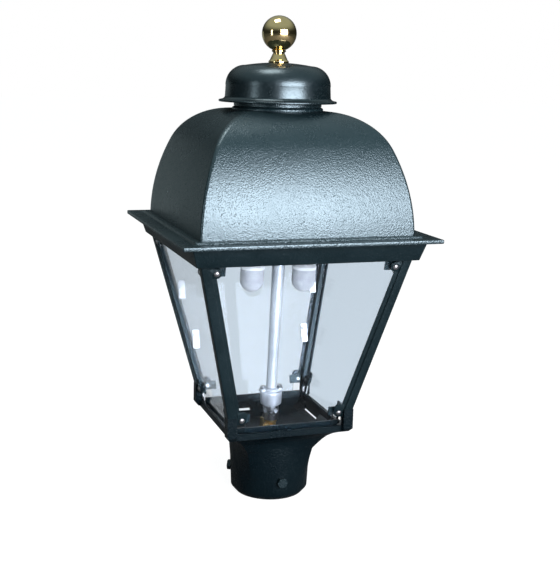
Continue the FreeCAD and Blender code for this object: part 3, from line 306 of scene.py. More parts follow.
def makeSandGrain():
    # Sand cast skin under paint: pits from a cell pattern and fine noise.
    # Height is for a Bump node; Speckle is a mask of scattered single grains.
    group, given, result = newGroup(
        "sandGrain",
        [("Vector", "NodeSocketVector", None), ("Grains", "NodeSocketFloat", 700.0)],
        [("Height", "NodeSocketFloat"), ("Speckle", "NodeSocketFloat")])
    fine = noise(group, given.outputs["Vector"], given.outputs["Grains"], 2.0, 0.55)
    cells = group.nodes.new("ShaderNodeTexVoronoi")
    cells.feature = "SMOOTH_F1"
    cells.inputs["Smoothness"].default_value = 0.5
    group.links.new(given.outputs["Vector"], cells.inputs["Vector"])
    group.links.new(math2(group, "MULTIPLY", given.outputs["Grains"], 0.62), cells.inputs["Scale"])
    group.links.new(math2(group, "ADD", fine, cells.outputs["Distance"]), result.inputs["Height"])
    group.links.new(math2(group, "GREATER_THAN", fine, 0.6), result.inputs["Speckle"])
    return group


def makeTwoTone():
    # Slow patches between two colours and two roughnesses, as paint and metal have.
    group, given, result = newGroup(
        "twoTone",
        [("Vector", "NodeSocketVector", None), ("Patches", "NodeSocketFloat", 20.0),
         ("Colour A", "NodeSocketColor", None), ("Colour B", "NodeSocketColor", None),
         ("Roughness A", "NodeSocketFloat", 0.3), ("Roughness B", "NodeSocketFloat", 0.5)],
        [("Color", "NodeSocketColor"), ("Roughness", "NodeSocketFloat")])
    patch = noise(group, given.outputs["Vector"], given.outputs["Patches"], 5.0, 0.6)
    spread = group.nodes.new("ShaderNodeMapRange")
    spread.inputs["From Min"].default_value = 0.35
    spread.inputs["From Max"].default_value = 0.65
    group.links.new(patch, spread.inputs["Value"])
    colours = group.nodes.new("ShaderNodeMix")
    colours.data_type = "RGBA"
    group.links.new(spread.outputs["Result"], colours.inputs["Factor"])
    group.links.new(given.outputs["Colour A"], colours.inputs["A"])
    group.links.new(given.outputs["Colour B"], colours.inputs["B"])
    rough = group.nodes.new("ShaderNodeMapRange")
    group.links.new(spread.outputs["Result"], rough.inputs["Value"])
    group.links.new(given.outputs["Roughness A"], rough.inputs["To Min"])
    group.links.new(given.outputs["Roughness B"], rough.inputs["To Max"])
    group.links.new([s for s in colours.outputs if s.type == "RGBA"][0], result.inputs["Color"])
    group.links.new(rough.outputs["Result"], result.inputs["Roughness"])
    return group


sandGrain = makeSandGrain()
twoTone = makeTwoTone()


def newMaterial(name):
    material = bpy.data.materials.new(name)
    material.use_nodes = True
    tree = material.node_tree
    shader = tree.nodes["Principled BSDF"]
    place = tree.nodes.new("ShaderNodeTexCoord").outputs["Object"]
    return material, tree, shader, place


def rgba(colour):
    return tuple(colour) + (1.0,)


def finish(name, colours, roughness, patches, grains, bump, depth, duller=0.0, **sockets):
    # Two tone surface with sand grain, whose scattered grains are `duller` than the rest: dark in a
    # sheen and light beside it. `sockets` are the shader's own constant values.
    material, tree, shader, place = newMaterial(name)
    tone = tree.nodes.new("ShaderNodeGroup")
    tone.node_tree = twoTone
    tree.links.new(place, tone.inputs["Vector"])
    tone.inputs["Patches"].default_value = patches
    tone.inputs["Colour A"].default_value = rgba(colours[0])
    tone.inputs["Colour B"].default_value = rgba(colours[1])
    tone.inputs["Roughness A"].default_value = roughness[0]
    tone.inputs["Roughness B"].default_value = roughness[1]
    tree.links.new(tone.outputs["Color"], shader.inputs["Base Color"])
    grain = tree.nodes.new("ShaderNodeGroup")
    grain.node_tree = sandGrain
    tree.links.new(place, grain.inputs["Vector"])
    grain.inputs["Grains"].default_value = grains
    lift = tree.nodes.new("ShaderNodeBump")
    lift.inputs["Strength"].default_value = bump
    lift.inputs["Distance"].default_value = depth
    tree.links.new(grain.outputs["Height"], lift.inputs["Height"])
    tree.links.new(lift.outputs["Normal"], shader.inputs["Normal"])
    dull = math2(tree, "MULTIPLY", grain.outputs["Speckle"], duller)
    tree.links.new(math2(tree, "ADD", tone.outputs["Roughness"], dull), shader.inputs["Roughness"])
    for label, value in sockets.items():
        shader.inputs[label.replace("_", " ")].default_value = value
    return material


pane = {"filmScale": 14.0, "haze": 0.03, "index": 1.22, "shadow": 0.96, "tint": (0.74, 0.795, 0.845)}


def glassFinish(name):
    # Clear pane: light for the shadows passes straight through it, everything else meets the glass.
    material, tree, shader, place = newMaterial(name)
    film = noise(tree, place, pane["filmScale"], 4.0, 0.6)
    rough = tree.nodes.new("ShaderNodeMapRange")
    rough.inputs["To Min"].default_value = 0.0
    rough.inputs["To Max"].default_value = pane["haze"]
    tree.links.new(film, rough.inputs["Value"])
    tree.links.new(rough.outputs["Result"], shader.inputs["Roughness"])
    shader.inputs["Base Color"].default_value = rgba(pane["tint"])
    shader.inputs["Transmission Weight"].default_value = 1.0
    shader.inputs["IOR"].default_value = pane["index"]
    clear = tree.nodes.new("ShaderNodeBsdfTransparent")
    clear.inputs["Color"].default_value = rgba([pane["shadow"] * math.sqrt(c) for c in pane["tint"]])
    path = tree.nodes.new("ShaderNodeLightPath")
    blend = tree.nodes.new("ShaderNodeMixShader")
    tree.links.new(path.outputs["Is Shadow Ray"], blend.inputs["Fac"])
    tree.links.new(shader.outputs["BSDF"], blend.inputs[1])
    tree.links.new(clear.outputs["BSDF"], blend.inputs[2])
    tree.links.new(blend.outputs["Shader"], tree.nodes["Material Output"].inputs["Surface"])
    return material


cool = (0.72, 0.93, 1.0, 1.0)       # cast of the black paint's reflections

finishes = {
    "roof": finish("roofBlack", [(0.003, 0.010, 0.013), (0.006, 0.015, 0.018)], (0.25, 0.30), patches=9.0,
                   grains=1000.0, bump=0.36, depth=0.0005, duller=0.4, Specular_IOR_Level=1.0,
                   Specular_Tint=cool),
    "cap": finish("capBlack", [(0.001, 0.004, 0.005), (0.002, 0.006, 0.008)], (0.25, 0.30), patches=14.0,
                  grains=900.0, bump=0.12, depth=0.0004, duller=0.2, Specular_IOR_Level=1.0,
                  Specular_Tint=cool),
    "frame": finish("frameBlack", [(0.001, 0.006, 0.008), (0.003, 0.010, 0.013)], (0.28, 0.38), patches=16.0,
                    grains=800.0, bump=0.4, depth=0.0005, duller=0.3, Specular_IOR_Level=0.55,
                    Specular_Tint=cool),
    "base": finish("baseBlack", [(0.001, 0.004, 0.006), (0.002, 0.006, 0.008)], (0.26, 0.34), patches=14.0,
                   grains=800.0, bump=0.4, depth=0.0005, duller=0.3, Specular_IOR_Level=0.2,
                   Specular_Tint=cool),
    "brass": finish("polishedBrass", [(0.80, 0.58, 0.26), (0.86, 0.66, 0.33)], (0.05, 0.11), patches=30.0,
                    grains=900.0, bump=0.03, depth=0.0002, Metallic=1.0),
    "fittingBrass": finish("fittingBrass", [(0.62, 0.45, 0.2), (0.74, 0.56, 0.28)], (0.28, 0.4), patches=60.0,
                           grains=1500.0, bump=0.1, depth=0.0002, Metallic=1.0),
    "aluminium": finish("castAluminium", [(0.50, 0.52, 0.55), (0.64, 0.66, 0.69)], (0.34, 0.48), patches=50.0,
                        grains=1300.0, bump=0.2, depth=0.0003, Metallic=0.75),
    "tube": finish("brightTube", [(0.42, 0.44, 0.46), (0.52, 0.54, 0.56)], (0.38, 0.5), patches=40.0,
                   grains=1800.0, bump=0.05, depth=0.0002, Metallic=0.5),
    "steel": finish("zincSteel", [(0.30, 0.31, 0.32), (0.42, 0.43, 0.44)], (0.25, 0.4), patches=90.0,
                    grains=1600.0, bump=0.1, depth=0.0002, Metallic=1.0),
    "ceramic": finish("ceramicWhite", [(0.78, 0.77, 0.74), (0.86, 0.85, 0.83)], (0.55, 0.7), patches=60.0,
                      grains=1500.0, bump=0.2, depth=0.0003),
    "mantle": finish("mantleCloth", [(0.38, 0.38, 0.39), (0.50, 0.50, 0.51)], (0.8, 0.95), patches=90.0,
                     grains=1400.0, bump=0.5, depth=0.0005, Sheen_Weight=0.3),
    "glass": glassFinish("windowGlass"),
}
print("materials:", len(finishes))

# ---- roof: hood, brim and locating lip as one profile carried round a square

hood = {"half": 117.6, "foot": 310.0, "sideRadius": 235.0, "shoulderRadius": 62.0, "turn": 23.5, "wall": 3.5,
        "hipFoot": 2.6, "hipShoulder": 5.0, "hipRise": 125.0, "innerHip": 1.2, "vent": 34.0}
brim = {"half": 140.6, "low": 309.15, "top": 313.4, "edge": 0.9, "corner": 1.4}
rib = {"half": 124.0, "top": 315.4, "wide": 5.8, "corner": 2.6}         # step round the hood's foot
groove = {"start": 0.8, "end": 2.2, "rim": 3.0, "deep": 0.5}            # line outside it, from its face
lip = {"outer": 107.8, "inner": 104.8, "low": 305.0, "top": 312.0}      # locates the roof in the frame


def hoodArcs(inward, steps=22):
    # Half width and height along the hood: a wide side arc, then a shoulder arc that ends level.
    turn = math.radians(hood["turn"])
    side, shoulder = hood["sideRadius"] - inward, hood["shoulderRadius"] - inward
    lead = hood["sideRadius"] - hood["shoulderRadius"]
    a = np.linspace(0, turn, steps)
    b = np.linspace(turn, math.pi / 2, steps)[1:]
    x = np.concatenate([side * np.cos(a), lead * math.cos(turn) + shoulder * np.cos(b)])
    z = np.concatenate([side * np.sin(a), lead * math.sin(turn) + shoulder * np.sin(b)])
    return x + hood["half"] - hood["sideRadius"], z + hood["foot"]


def roofShell():
    # One outline of half width over height, from the vent down the hood, over rib, groove, brim and
    # lip and up inside; its corners' radius grows from the hip's foot to the round vent.
    x, z = hoodArcs(0.0)
    grow = np.clip((z - hood["foot"]) / hood["hipRise"], 0, 1) ** 2
    hip = hood["hipFoot"] + (hood["hipShoulder"] - hood["hipFoot"]) * grow
    inX, inZ = hoodArcs(hood["wall"])
    face, edge = rib["half"], brim["edge"]
    grooveLow = brim["top"] - groove["deep"]
    foot = rounded([
        (face - rib["wide"], rib["top"]), (face, rib["top"]), (face + groove["start"], grooveLow),
        (face + groove["end"], grooveLow), (face + groove["rim"], brim["top"]), (brim["half"], brim["top"]),
        (brim["half"], brim["low"]), (lip["outer"], brim["low"]), (lip["outer"], lip["low"]),
        (lip["inner"], lip["low"]), (lip["inner"], lip["top"]),
    ], [1.2, 0.9, 0.3, 0.3, 0.4, edge, edge, 0.5, 0.4, 0.4, 0], 3)
    start = int(np.argmax(foot[:, 1] > rib["top"] - 0.01))
    foot = np.roll(foot, -start, 0)
    vent = np.linspace(x[-1], hood["vent"], 8)[1:]
    half = np.concatenate([vent[::-1], x[::-1], foot[:, 0], inX, [hood["vent"]]])
    height = np.concatenate([vent * 0 + z[-1], z[::-1], foot[:, 1], inZ, [inZ[-1]]])
    ventRadius = np.linspace(hip[-1], hood["vent"], 8)[1:]
    onBrim = foot[:, 0] > (face + brim["half"]) / 2
    footRadius = np.where(onBrim, brim["corner"], rib["corner"])
    inRadius = np.full(len(inX), hood["innerHip"])
    radius = np.concatenate([ventRadius[::-1], hip[::-1], footRadius, inRadius, [hood["vent"]]])
    return closedShell(squareRows(half, height, radius, 8), True)


neck = {"foot": 47.6, "ring": 48.4, "ringLow": 444.2, "bead": 50.4, "beadRound": 2.6, "beadHeight": 441.3,
        "low": 437.0, "top": 449.0, "bore": 42.0, "vent": 34.0, "seat": 443.4}


def neckShell():
    # Turned ring whose foot swells into a half round bead, with a seat for the bridge inside.
    n = neck
    t = np.linspace(-math.pi / 2, math.pi / 2, 9)
    bead = n["beadRound"] * np.stack([np.cos(t) - 1, np.sin(t)], -1) + (n["bead"], n["beadHeight"])
    outline = np.concatenate([
        [(n["vent"], n["low"]), (n["foot"], n["low"])], bead,
        rounded([(n["ring"] - 1, n["ringLow"]), (n["ring"], n["ringLow"] + 0.4), (n["ring"], n["top"]),
                 (n["bore"], n["top"]), (n["bore"], n["seat"]), (n["vent"], n["seat"])],
                [0.2, 0.2, 0.7, 0.5, 0.2, 0.2], 3),
    ])
    return lathe(outline, 96, True)


hinge = {"y": 134.0, "z": 303.0, "radius": 4.5, "bore": 2.55, "spread": 70.0, "webHalf": 4.4, "roofLong": 9.4,
         "roofWebLow": 306.0, "roofWebTop": 309.6, "railLong": 9.0, "railStep": 9.5, "railWebStart": 125.0}


def knuckleShell(middle, length, low, high):
    # Barrel about the hinge axis with its bore, and a web from the (y, z) corner `low` to `high`,
    # carried along X.
    h = hinge
    web = rounded([low, (high[0], low[1]), high, (low[0], high[1])], 0.5, 2)
    return [moved(tube(h["radius"], h["bore"], length), alongX(middle - length / 2, h["y"], h["z"])),
            moved(tablet(web, middle - length / 2, middle + length / 2, 0.3), yzAlongX())]


def tube(outer, inner, length, edge=0.3):
    # Square ended ring profile turned about Z.
    return lathe(rounded([(inner, 0), (outer, 0), (outer, length), (inner, length)], edge, 2), 32, True)


def yzAlongX():
    # Local X, Y, Z become Y, Z, X.
    matrix = np.zeros((4, 4))
    matrix[1, 0] = matrix[2, 1] = matrix[0, 2] = matrix[3, 3] = 1
    return matrix


def roofKnuckles():
    h = hinge
    low, high = (h["y"] - h["webHalf"], h["roofWebLow"]), (h["y"] + h["webHalf"], h["roofWebTop"])
    shells = []
    for way in (-1, 1):
        shells += knuckleShell(way * h["spread"], h["roofLong"], low, high)
    return shells


addPiece("roofCasting", [roofShell(), neckShell()] + roofKnuckles(), finishes["roof"], "roof",
         ["roof_casting"], sharp=28)

# ---- vent cap and finial: turned profiles

cap = {"lip": 65.2, "low": 448.6, "body": 57.9, "bodyLow": 453.6, "bodyTop": 466.0, "shoulder": 21.5,
       "shoulderZ": 467.0, "top": 491.6, "wall": 2.5, "rod": 3.3}


def capShell():
    # Crown that falls with the square of the radius, a quarter round shoulder, an upright side and a
    # flared lip, then the same way back inside by the wall's thickness.
    c = cap
    a = np.linspace(0, math.pi / 2, 22)
    centre = c["body"] - c["shoulder"]
    inside = c["body"] - c["wall"]
    side = rounded([(c["body"] - 0.2, c["bodyTop"]), (c["body"] + 0.5, c["bodyLow"]),
                    (c["lip"] - 4.5, c["low"] + 3.1), (c["lip"], c["low"] + 2.2), (c["lip"], c["low"]),
                    (c["lip"] - 2.2, c["low"]), (inside + 2.0, c["low"] + 0.4), (inside, c["low"] + 4.4),
                    (inside, c["bodyTop"])], [0, 3.0, 4.0, 0.9, 0.9, 0.6, 1.5, 2.0, 0], 4)
    crownR = np.linspace(centre, c["rod"], 14)[1:]
    rise = c["top"] - (c["shoulderZ"] + c["shoulder"])
    crown = np.stack([crownR, c["top"] - rise * (crownR / centre) ** 2], -1)
    shoulder = np.stack([centre + c["shoulder"] * np.cos(a), c["shoulderZ"] + c["shoulder"] * np.sin(a)], -1)
    inner = c["shoulder"] - c["wall"]
    under = np.stack([centre + inner * np.cos(a), c["shoulderZ"] + inner * np.sin(a)], -1)
    outline = np.concatenate([crown[::-1], shoulder[::-1], side, under, crown - (0, c["wall"])])
    return lathe(outline, 128, True)


addPiece("ventCap", [capShell()], finishes["cap"], "roof", ["vent_cap"], sharp=40)

ball = {"radius": 19.0, "z": 522.9, "waist": 6.9, "foot": 491.3, "footRadius": 11.2}


def finialShell():
    # Turned foot that sweeps in to a waist with a small collar, then the ball's own circle.
    b = ball
    start = math.asin(b["waist"] / b["radius"])
    a = np.linspace(start, math.pi, 48)
    sphere = np.stack([b["radius"] * np.sin(a), b["z"] - b["radius"] * np.cos(a)], -1)
    sphere[-1, 0] = 0
    foot, wide, waist, low = b["foot"], b["footRadius"], b["waist"], sphere[0, 1]
    stem = rounded([(0, foot), (wide, foot), (wide, foot + 1.6), (wide - 1.6, foot + 3.4),
                    (waist + 0.2, foot + 9.0), (waist - 0.5, foot + 10.0), (waist - 0.4, low - 2.6),
                    (waist + 0.9, low - 1.8), (waist + 0.9, low - 0.6), (waist, low)],
                   [0, 0.5, 0.8, 2.0, 1.2, 0.8, 0.5, 0.5, 0.4, 0.1], 4)
    return lathe(np.concatenate([stem, sphere[1:]]), 72)


addPiece("finialBall", [finialShell()], finishes["brass"], "roof", ["finial"], sharp=40)
print("roof, cap and finial")

# ---- upper frame: a ring profile with hinge knuckles behind

rail = {"low": 289.0, "top": 309.0, "head": 2.0, "lowHalf": 121.75, "topHalf": 127.5, "corner": 1.8,
        "ledgeInner": 109.0, "ledgeLow": 297.0, "gap": 3.4, "seatInner": 105.4, "seatOuter": 119.0,
        "seatTop": 304.3}


def railShells():
    # Sloping rail outline carried round a square, a seat in each corner, and the fixed knuckles.
    r = rail
    ring = squareRing(rounded([
        (r["lowHalf"], r["low"]), (r["topHalf"], r["top"] - r["head"]), (r["topHalf"], r["top"]),
        (r["ledgeInner"], r["top"]), (r["ledgeInner"], r["ledgeLow"]),
        (leanHalf(r["ledgeLow"]) - r["gap"], r["ledgeLow"]), (leanHalf(r["low"]) - r["gap"], r["low"]),
    ], [0.8, 0.8, 0.5, 0.5, 0.5, 0.4, 0.6], 3), r["corner"])
    seat = rounded([(r["seatInner"], r["seatInner"]), (r["seatOuter"], r["seatInner"]),
                    (r["seatOuter"], r["seatOuter"]), (r["seatInner"], r["seatOuter"])], 0.8, 2)
    shells = [ring]
    for corner in range(4):
        shells.append(moved(tablet(seat, r["low"], r["seatTop"], 0.4), at(turn=90 * corner)))
    h = hinge
    low, high = (h["railWebStart"], h["z"] - h["webHalf"]), (h["y"], h["z"] + h["webHalf"])
    for way in (-1, 1):
        for step in (-h["railStep"], h["railStep"]):
            shells += knuckleShell(way * h["spread"] + step, h["railLong"], low, high)
    return shells


addPiece("upperFrame", railShells(), finishes["frame"], "lantern_base", ["upper_frame"],
         sharp=30)

# ---- corner posts: one section, carried up the lean and turned to each corner

post = {"low": 113.0, "high": 289.0, "face": 10.0, "core": 11.2, "lip": 15.0, "step": 1.8, "back": 3.5,
        "lugHalf": 5.5, "lugScrew": 15.5, "lugRise": 5.0, "lugHigh": 280.5, "lugLow": 108.5, "lugThick": 1.9,
        "lugDepth": 1.5, "footInner": 62.3}


def postShells(corner):
    # Angle section with a rebate for each pane, ruled from the foot to the rail, with its four lugs.
    p = post
    section = rounded([
        (0, 0), (p["face"], 0), (p["face"], p["step"]), (p["lip"], p["step"]), (p["lip"], p["back"]),
        (p["core"], p["back"]), (p["core"], p["core"]), (p["back"], p["core"]), (p["back"], p["lip"]),
        (p["step"], p["lip"]), (p["step"], p["face"]), (0, p["face"]),
    ], [1.1, 0.5, 0.25, 0.45, 0.4, 0.4, 0.8, 0.4, 0.4, 0.45, 0.25, 0.5], 3)
    places = [at(turn=90 * corner) @ at(-leanHalf(z), -leanHalf(z), z) for z in (p["low"], p["high"])]
    shells = [prism(section, *places)]
    for height in (p["lugHigh"], p["lugLow"]):
        for face, end in ((corner, -1), ((corner + 3) % 4, 1)):
            shells.append(lugShell(face, end, height))
    return shells


def lugShell(face, end, height):
    # Rounded plate whose eye holds a screw; the lower ones reach up beside the post's foot.
    p = post
    half = leanHalf(height)
    atFoot = height < p["low"]
    eye = end * (half - p["lugScrew"])
    reach = p["footInner"] if atFoot else half - 6
    top = p["lugHalf"] + (p["lugRise"] if atFoot else 0)
    outline = [(end * reach, -p["lugHalf"]), (end * reach, top), (eye - end * p["lugHalf"], top),
               (eye - end * p["lugHalf"], -p["lugHalf"])]
    plate = tablet(rounded(outline, [0.3, 0.3, 4.6, 5.2], 6), -p["lugThick"], 0, 0.45)
    return moved(plate, outOfFace(face, 0, height, p["lugDepth"]))


cornerNames = ("front_left", "front_right", "rear_right", "rear_left")
for corner, cornerName in enumerate(cornerNames):
    addPiece("post_" + cornerName, postShells(corner), finishes["frame"], "lantern_base",
             ["corner_post_" + cornerName], sharp=30)

clipScrew = {"radius": 3.3, "rise": 1.9, "shank": 2.0, "long": 8.0}


def domeScrew():
    # Button head, an ellipse that stops short of its rim, over a plain shank.
    s = clipScrew
    t = np.linspace(math.pi / 2, 0.25, 7)
    head = np.stack([s["radius"] * np.cos(t), s["rise"] * np.sin(t)], -1)
    head[0, 0] = 0
    rim = [(s["radius"], 0.0), (s["shank"], 0.0), (s["shank"], -s["long"]), (0, -s["long"])]
    return lathe(np.concatenate([head, rim]), 24)


def clipScrewShells():
    # One screw in the eye of each lug.
    shells = []
    for face in range(4):
        for end in (-1, 1):
            for height in (post["lugHigh"], post["lugLow"]):
                across = end * (leanHalf(height) - post["lugScrew"])
                shells.append(moved(domeScrew(), outOfFace(face, across, height, post["lugDepth"])))
    return shells


addPiece("clipScrews", clipScrewShells(), finishes["steel"], "lantern_base", ["clip_screws"])
dress(finishes["frame"], "pane_clips", "set_screws")
dress(finishes["steel"], "post_screws", "side_clips", "side_clip_screws", "hinge_pins",
      "baffle_screws", "cap_bridge", "bridge_screws", "rod_nut", "cap_rod", "air_shutter", "flange_screws")
dress(finishes["glass"], *["glass_pane_" + name for name in ("front", "right", "rear", "left")])
dress(finishes["aluminium"], "heat_baffle", "cap_spacer", "burner_tee")
dress(finishes["fittingBrass"], "gas_inlet_fitting", "gas_valve", "valve_key", "orifice_nut")
smoothCopy("base_casting", "baseCasting", finishes["base"], "lantern_base")
smoothCopy("post_collar", "postCollar", finishes["base"], "lantern_base")
print("frame, posts and screws")

# ---- burner: turned pieces that lean together

burner = {"leanFrom": 121.0, "lean": 2.2, "spread": 31.0, "sharp": 35}
lean = at(z=burner["leanFrom"]) @ at(turn=burner["lean"], axis="Y") @ at(z=-burner["leanFrom"])
riser = {"bore": 4.4, "ring": 8.6, "ringLow": 119.0, "ringTop": 121.4, "neck": 123.0, "low": 6.0,
         "taper": 155.0, "high": 7.5, "wall": 1.5, "top": 268.0}
flange = {"low": 118.5, "high": 121.5, "hub": 8.9, "ear": 4.2, "earOut": 10.4}
mixer = {"bore": 5.2, "seat": 8.0, "low": 84.5, "seatTop": 101.6, "bowl": 11.9, "bowlLow": 103.6, "cup": 12.8,
         "cupTop": 116.0, "rim": 12.6, "top": 118.4}
nozzle = {"bore": 3.6, "stem": 6.0, "stemLow": 260.0, "radius": 14.0, "low": 262.0, "side": 265.4,
          "crown": 10.5, "top": 268.0}
mantle = {"radius": 13.6, "low": 236.0, "thin": 0.7, "drawnIn": 0.4}


def riserShells():
    # Turned tube that widens from its taper up, and the upright oval flange that it stands on.
    r = riser
    profile = rounded([(r["bore"], r["ringLow"]), (r["ring"], r["ringLow"]), (r["ring"], r["ringTop"]),
                       (r["low"], r["neck"]), (r["low"], r["taper"]), (r["high"], r["top"]),
                       (r["high"] - r["wall"], r["top"]), (r["bore"], r["taper"])],
                      [0.1, 0.3, 0.4, 0.8, 20, 0.4, 0.4, 20], 4)
    plate = tablet(flangeOutline(), flange["low"], flange["high"], 0.4)
    return [moved(lathe(profile, 48, True), lean), plate]


def flangeOutline():
    # In each direction, the farther of the round hub's rim and of the two ears' rims.
    angle = np.linspace(0, 2 * math.pi, 96, endpoint=False)
    ray = np.stack([np.cos(angle), np.sin(angle)], -1)
    reach = np.full(len(angle), flange["hub"])
    for way in (-1, 1):
        across = ray[:, 0] * flange["earOut"] * way
        inside = np.clip(flange["ear"] ** 2 - (flange["earOut"] ** 2 - across ** 2), 0, None)
        reach = np.maximum(reach, np.where(inside > 0, across + np.sqrt(inside), 0))
    return ray * reach[:, None]


def mixerShell():
    # Turned cup: a straight seat for the shutter, a step out, and a bowl up to the rim.
    m = mixer
    profile = rounded([(m["bore"], m["low"]), (m["seat"], m["low"]), (m["seat"], m["seatTop"]),
                       (m["bowl"], m["bowlLow"]), (m["cup"], m["cupTop"]), (m["rim"], m["top"]),
                       (m["bore"], m["top"])], [0.2, 0.2, 0.3, 0.9, 3, 0.6, 0.2], 4)
    return lathe(profile, 64, True)


def nozzleShell(way):
    # Turned ring with a stem below and a sloping crown.
    n = nozzle
    profile = rounded([(n["bore"], n["stemLow"]), (n["stem"], n["stemLow"]), (n["stem"], n["low"]),
                       (n["radius"], n["low"]), (n["radius"], n["side"]), (n["crown"], n["top"]),
                       (n["bore"], n["top"])], [0.2, 0.3, 0.2, 0.7, 0.8, 0.6, 0.3], 3)
    return moved(lathe(profile, 48, True), lean @ at(x=burner["spread"] * way))


def mantleShell(way):
    # Rounded bag: half sphere below, nearly straight sides that draw in a little at the collar.
    r, thin = mantle["radius"], mantle["thin"]
    a = np.linspace(0, math.pi / 2, 16)
    middle = mantle["low"] + r
    up = np.linspace(middle, nozzle["low"], 8)[1:]
    side = r - mantle["drawnIn"] * ((up - middle) / (nozzle["low"] - middle)) ** 2
    outer = np.concatenate([np.stack([r * np.sin(a), middle - r * np.cos(a)], -1), np.stack([side, up], -1)])
    inner = np.concatenate([np.stack([side - thin, up], -1)[::-1],
                            np.stack([(r - thin) * np.sin(a), middle - (r - thin) * np.cos(a)], -1)[::-1]])
    outline = np.concatenate([outer, inner])
    outline[0, 0] = outline[-1, 0] = 0
    return moved(lathe(outline, 40), lean @ at(x=burner["spread"] * way))


addPiece("riserTube", riserShells(), finishes["tube"], "lantern_base", ["riser_tube"],
         burner["sharp"])
addPiece("mixerCup", [mixerShell()], finishes["aluminium"], "lantern_base", ["mixer_cup"],
         burner["sharp"])
for way, side in ((-1, "left"), (1, "right")):
    addPiece("nozzleRing_" + side, [nozzleShell(way)], finishes["ceramic"], "lantern_base",
             ["nozzle_" + side], burner["sharp"])
    addPiece("mantleBag_" + side, [mantleShell(way)], finishes["mantle"], "lantern_base",
             ["mantle_" + side], burner["sharp"])
print("burner")

# ---- studio: floor, backdrop, lamps and camera, in metres

studio = {"floorSize": 14.0, "floorGrey": 0.12, "paper": 1.0, "paperGlow": 0.95, "roomLow": 0.025,
          "roomHigh": 0.45, "roomRise": (0.15, 0.75), "roomTint": (0.80, 0.97, 1.0, 1.0)}
lamps = {
    "frontPanel": {"place": (0.52, -2.08, 0.72), "target": (0, 0, 0.36), "size": (1.75, 1.2), "power": 105,
                   "colour": (0.95, 0.93, 1.0), "inPicture": True},
    "leftPanel": {"place": (-1.9, -0.7, 0.6), "target": (0, 0, 0.36), "size": (0.3, 1.1), "power": 5,
                  "colour": (0.92, 0.96, 1.0), "inPicture": True},
    "topPanel": {"place": (-0.25, 0.05, 2.1), "target": (0, 0, 0.4), "size": (0.7, 0.7), "power": 12,
                 "colour": (1, 1, 1), "inPicture": True},
    "rearPanel": {"place": (-0.55, 2.1, 0.25), "target": (0, 0, 0.36), "size": (1.5, 0.9), "power": 1,
                  "colour": (0.8, 0.97, 1.0), "inPicture": False},
}
# The view is fitted to the square brim, frame and base in the photograph, whose long side is
# `longSide` pixels; `drop` is how far it looks down per metre ahead.
view = {"place": (-0.388623, -1.138835, 0.486901), "azimuth": 19.197, "drop": 0.194714, "roll": 1.432,
        "pixels": 1077.553, "longSide": 562.0, "sensor": 36.0}


def makeFloor():
    size = studio["floorSize"]
    mesh = bpy.data.meshes.new("floor")
    corners = [(-size, -size, 0), (size, -size, 0), (size, size, 0), (-size, size, 0)]
    mesh.from_pydata(corners, [], [(0, 1, 2, 3)])
    floor = bpy.data.objects.new("floor", mesh)
    bpy.context.scene.collection.objects.link(floor)
    material, tree, shader, place = newMaterial("paperFloor")
    shader.inputs["Base Color"].default_value = rgba([studio["floorGrey"]] * 3)
    shader.inputs["Roughness"].default_value = 0.9
    # The camera sees the paper glow a little, so that only its shadow is darker than white.
    glow = math2(tree, "MULTIPLY", seenDirectly(tree), studio["paperGlow"])
    tree.links.new(glow, shader.inputs["Emission Strength"])
    shader.inputs["Emission Color"].default_value = (1, 1, 1, 1)
    mesh.materials.append(material)


def seenDirectly(tree):
    # 1 for rays from the camera, also where they come through glass.
    path = tree.nodes.new("ShaderNodeLightPath")
    return math2(tree, "ADD", path.outputs["Is Camera Ray"], path.outputs["Is Transmission Ray"], True)


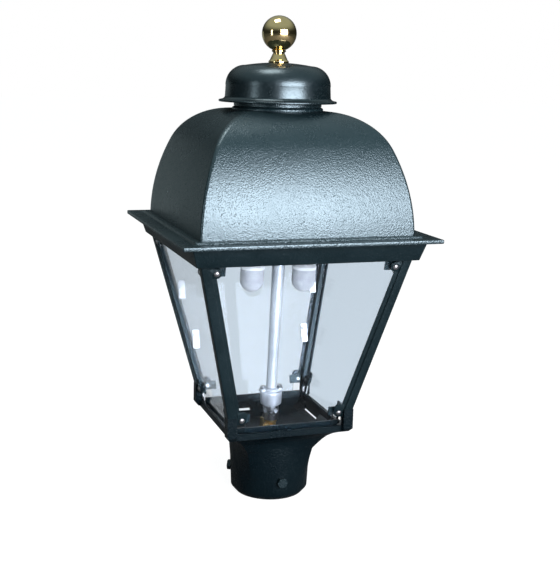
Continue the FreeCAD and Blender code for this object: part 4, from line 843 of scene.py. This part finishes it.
def makeWorld():
    # White behind the lantern; for its light and reflections a room that is dim low down and bright overhead.
    world = bpy.data.worlds.new("studioAir")
    bpy.context.scene.world = world
    world.use_nodes = True
    tree = world.node_tree
    background = tree.nodes["Background"]
    way = tree.nodes.new("ShaderNodeSeparateXYZ")
    tree.links.new(tree.nodes.new("ShaderNodeTexCoord").outputs["Generated"], way.inputs["Vector"])
    room = tree.nodes.new("ShaderNodeMapRange")
    room.interpolation_type = "SMOOTHSTEP"
    tree.links.new(way.outputs["Z"], room.inputs["Value"])
    room.inputs["From Min"].default_value, room.inputs["From Max"].default_value = studio["roomRise"]
    room.inputs["To Min"].default_value = studio["roomLow"]
    room.inputs["To Max"].default_value = studio["roomHigh"]
    seen = seenDirectly(tree)
    unseen = math2(tree, "SUBTRACT", 1.0, seen)
    strength = math2(tree, "ADD", math2(tree, "MULTIPLY", room.outputs["Result"], unseen),
                     math2(tree, "MULTIPLY", seen, studio["paper"]))
    tree.links.new(strength, background.inputs["Strength"])
    tint = tree.nodes.new("ShaderNodeMix")
    tint.data_type = "RGBA"
    tree.links.new(seen, tint.inputs["Factor"])
    colours = [s for s in tint.inputs if s.type == "RGBA"]
    colours[0].default_value = studio["roomTint"]
    colours[1].default_value = (1, 1, 1, 1)
    tree.links.new([s for s in tint.outputs if s.type == "RGBA"][0], background.inputs["Color"])


def areaLamp(name, place, target, size, power, colour, inPicture):
    lamp = bpy.data.lights.new(name, "AREA")
    lamp.shape = "RECTANGLE"
    lamp.size, lamp.size_y = size
    lamp.energy = power
    lamp.color = colour
    thing = bpy.data.objects.new(name, lamp)
    thing.location = place
    aim = Vector(target) - Vector(place)
    thing.rotation_euler = aim.to_track_quat("-Z", "Y").to_euler()
    thing.visible_camera = thing.visible_transmission = inPicture
    bpy.context.scene.collection.objects.link(thing)


def makeCamera():
    # Level right and the way ahead from azimuth and drop, up square to both, then the roll.
    a, roll = math.radians(view["azimuth"]), math.radians(view["roll"])
    along = math.sqrt(1 - view["drop"] ** 2)
    right = np.array([math.cos(a), -math.sin(a), 0.0])
    ahead = np.array([math.sin(a) * along, math.cos(a) * along, -view["drop"]])
    up = np.cross(right, ahead)
    right, up = math.cos(roll) * right + math.sin(roll) * up, math.cos(roll) * up - math.sin(roll) * right
    data = bpy.data.cameras.new("camera")
    data.sensor_width = view["sensor"]
    data.lens = view["pixels"] * view["sensor"] / view["longSide"]
    camera = bpy.data.objects.new("camera", data)
    matrix = np.eye(4)
    matrix[:3, 0], matrix[:3, 1], matrix[:3, 2], matrix[:3, 3] = right, up, -ahead, view["place"]
    camera.matrix_world = Matrix(matrix.tolist())
    bpy.context.scene.collection.objects.link(camera)
    bpy.context.scene.camera = camera


makeFloor()
makeWorld()
for name, lamp in lamps.items():
    areaLamp(name, **lamp)
makeCamera()
bpy.context.scene.view_settings.view_transform = "Standard"
print("studio")
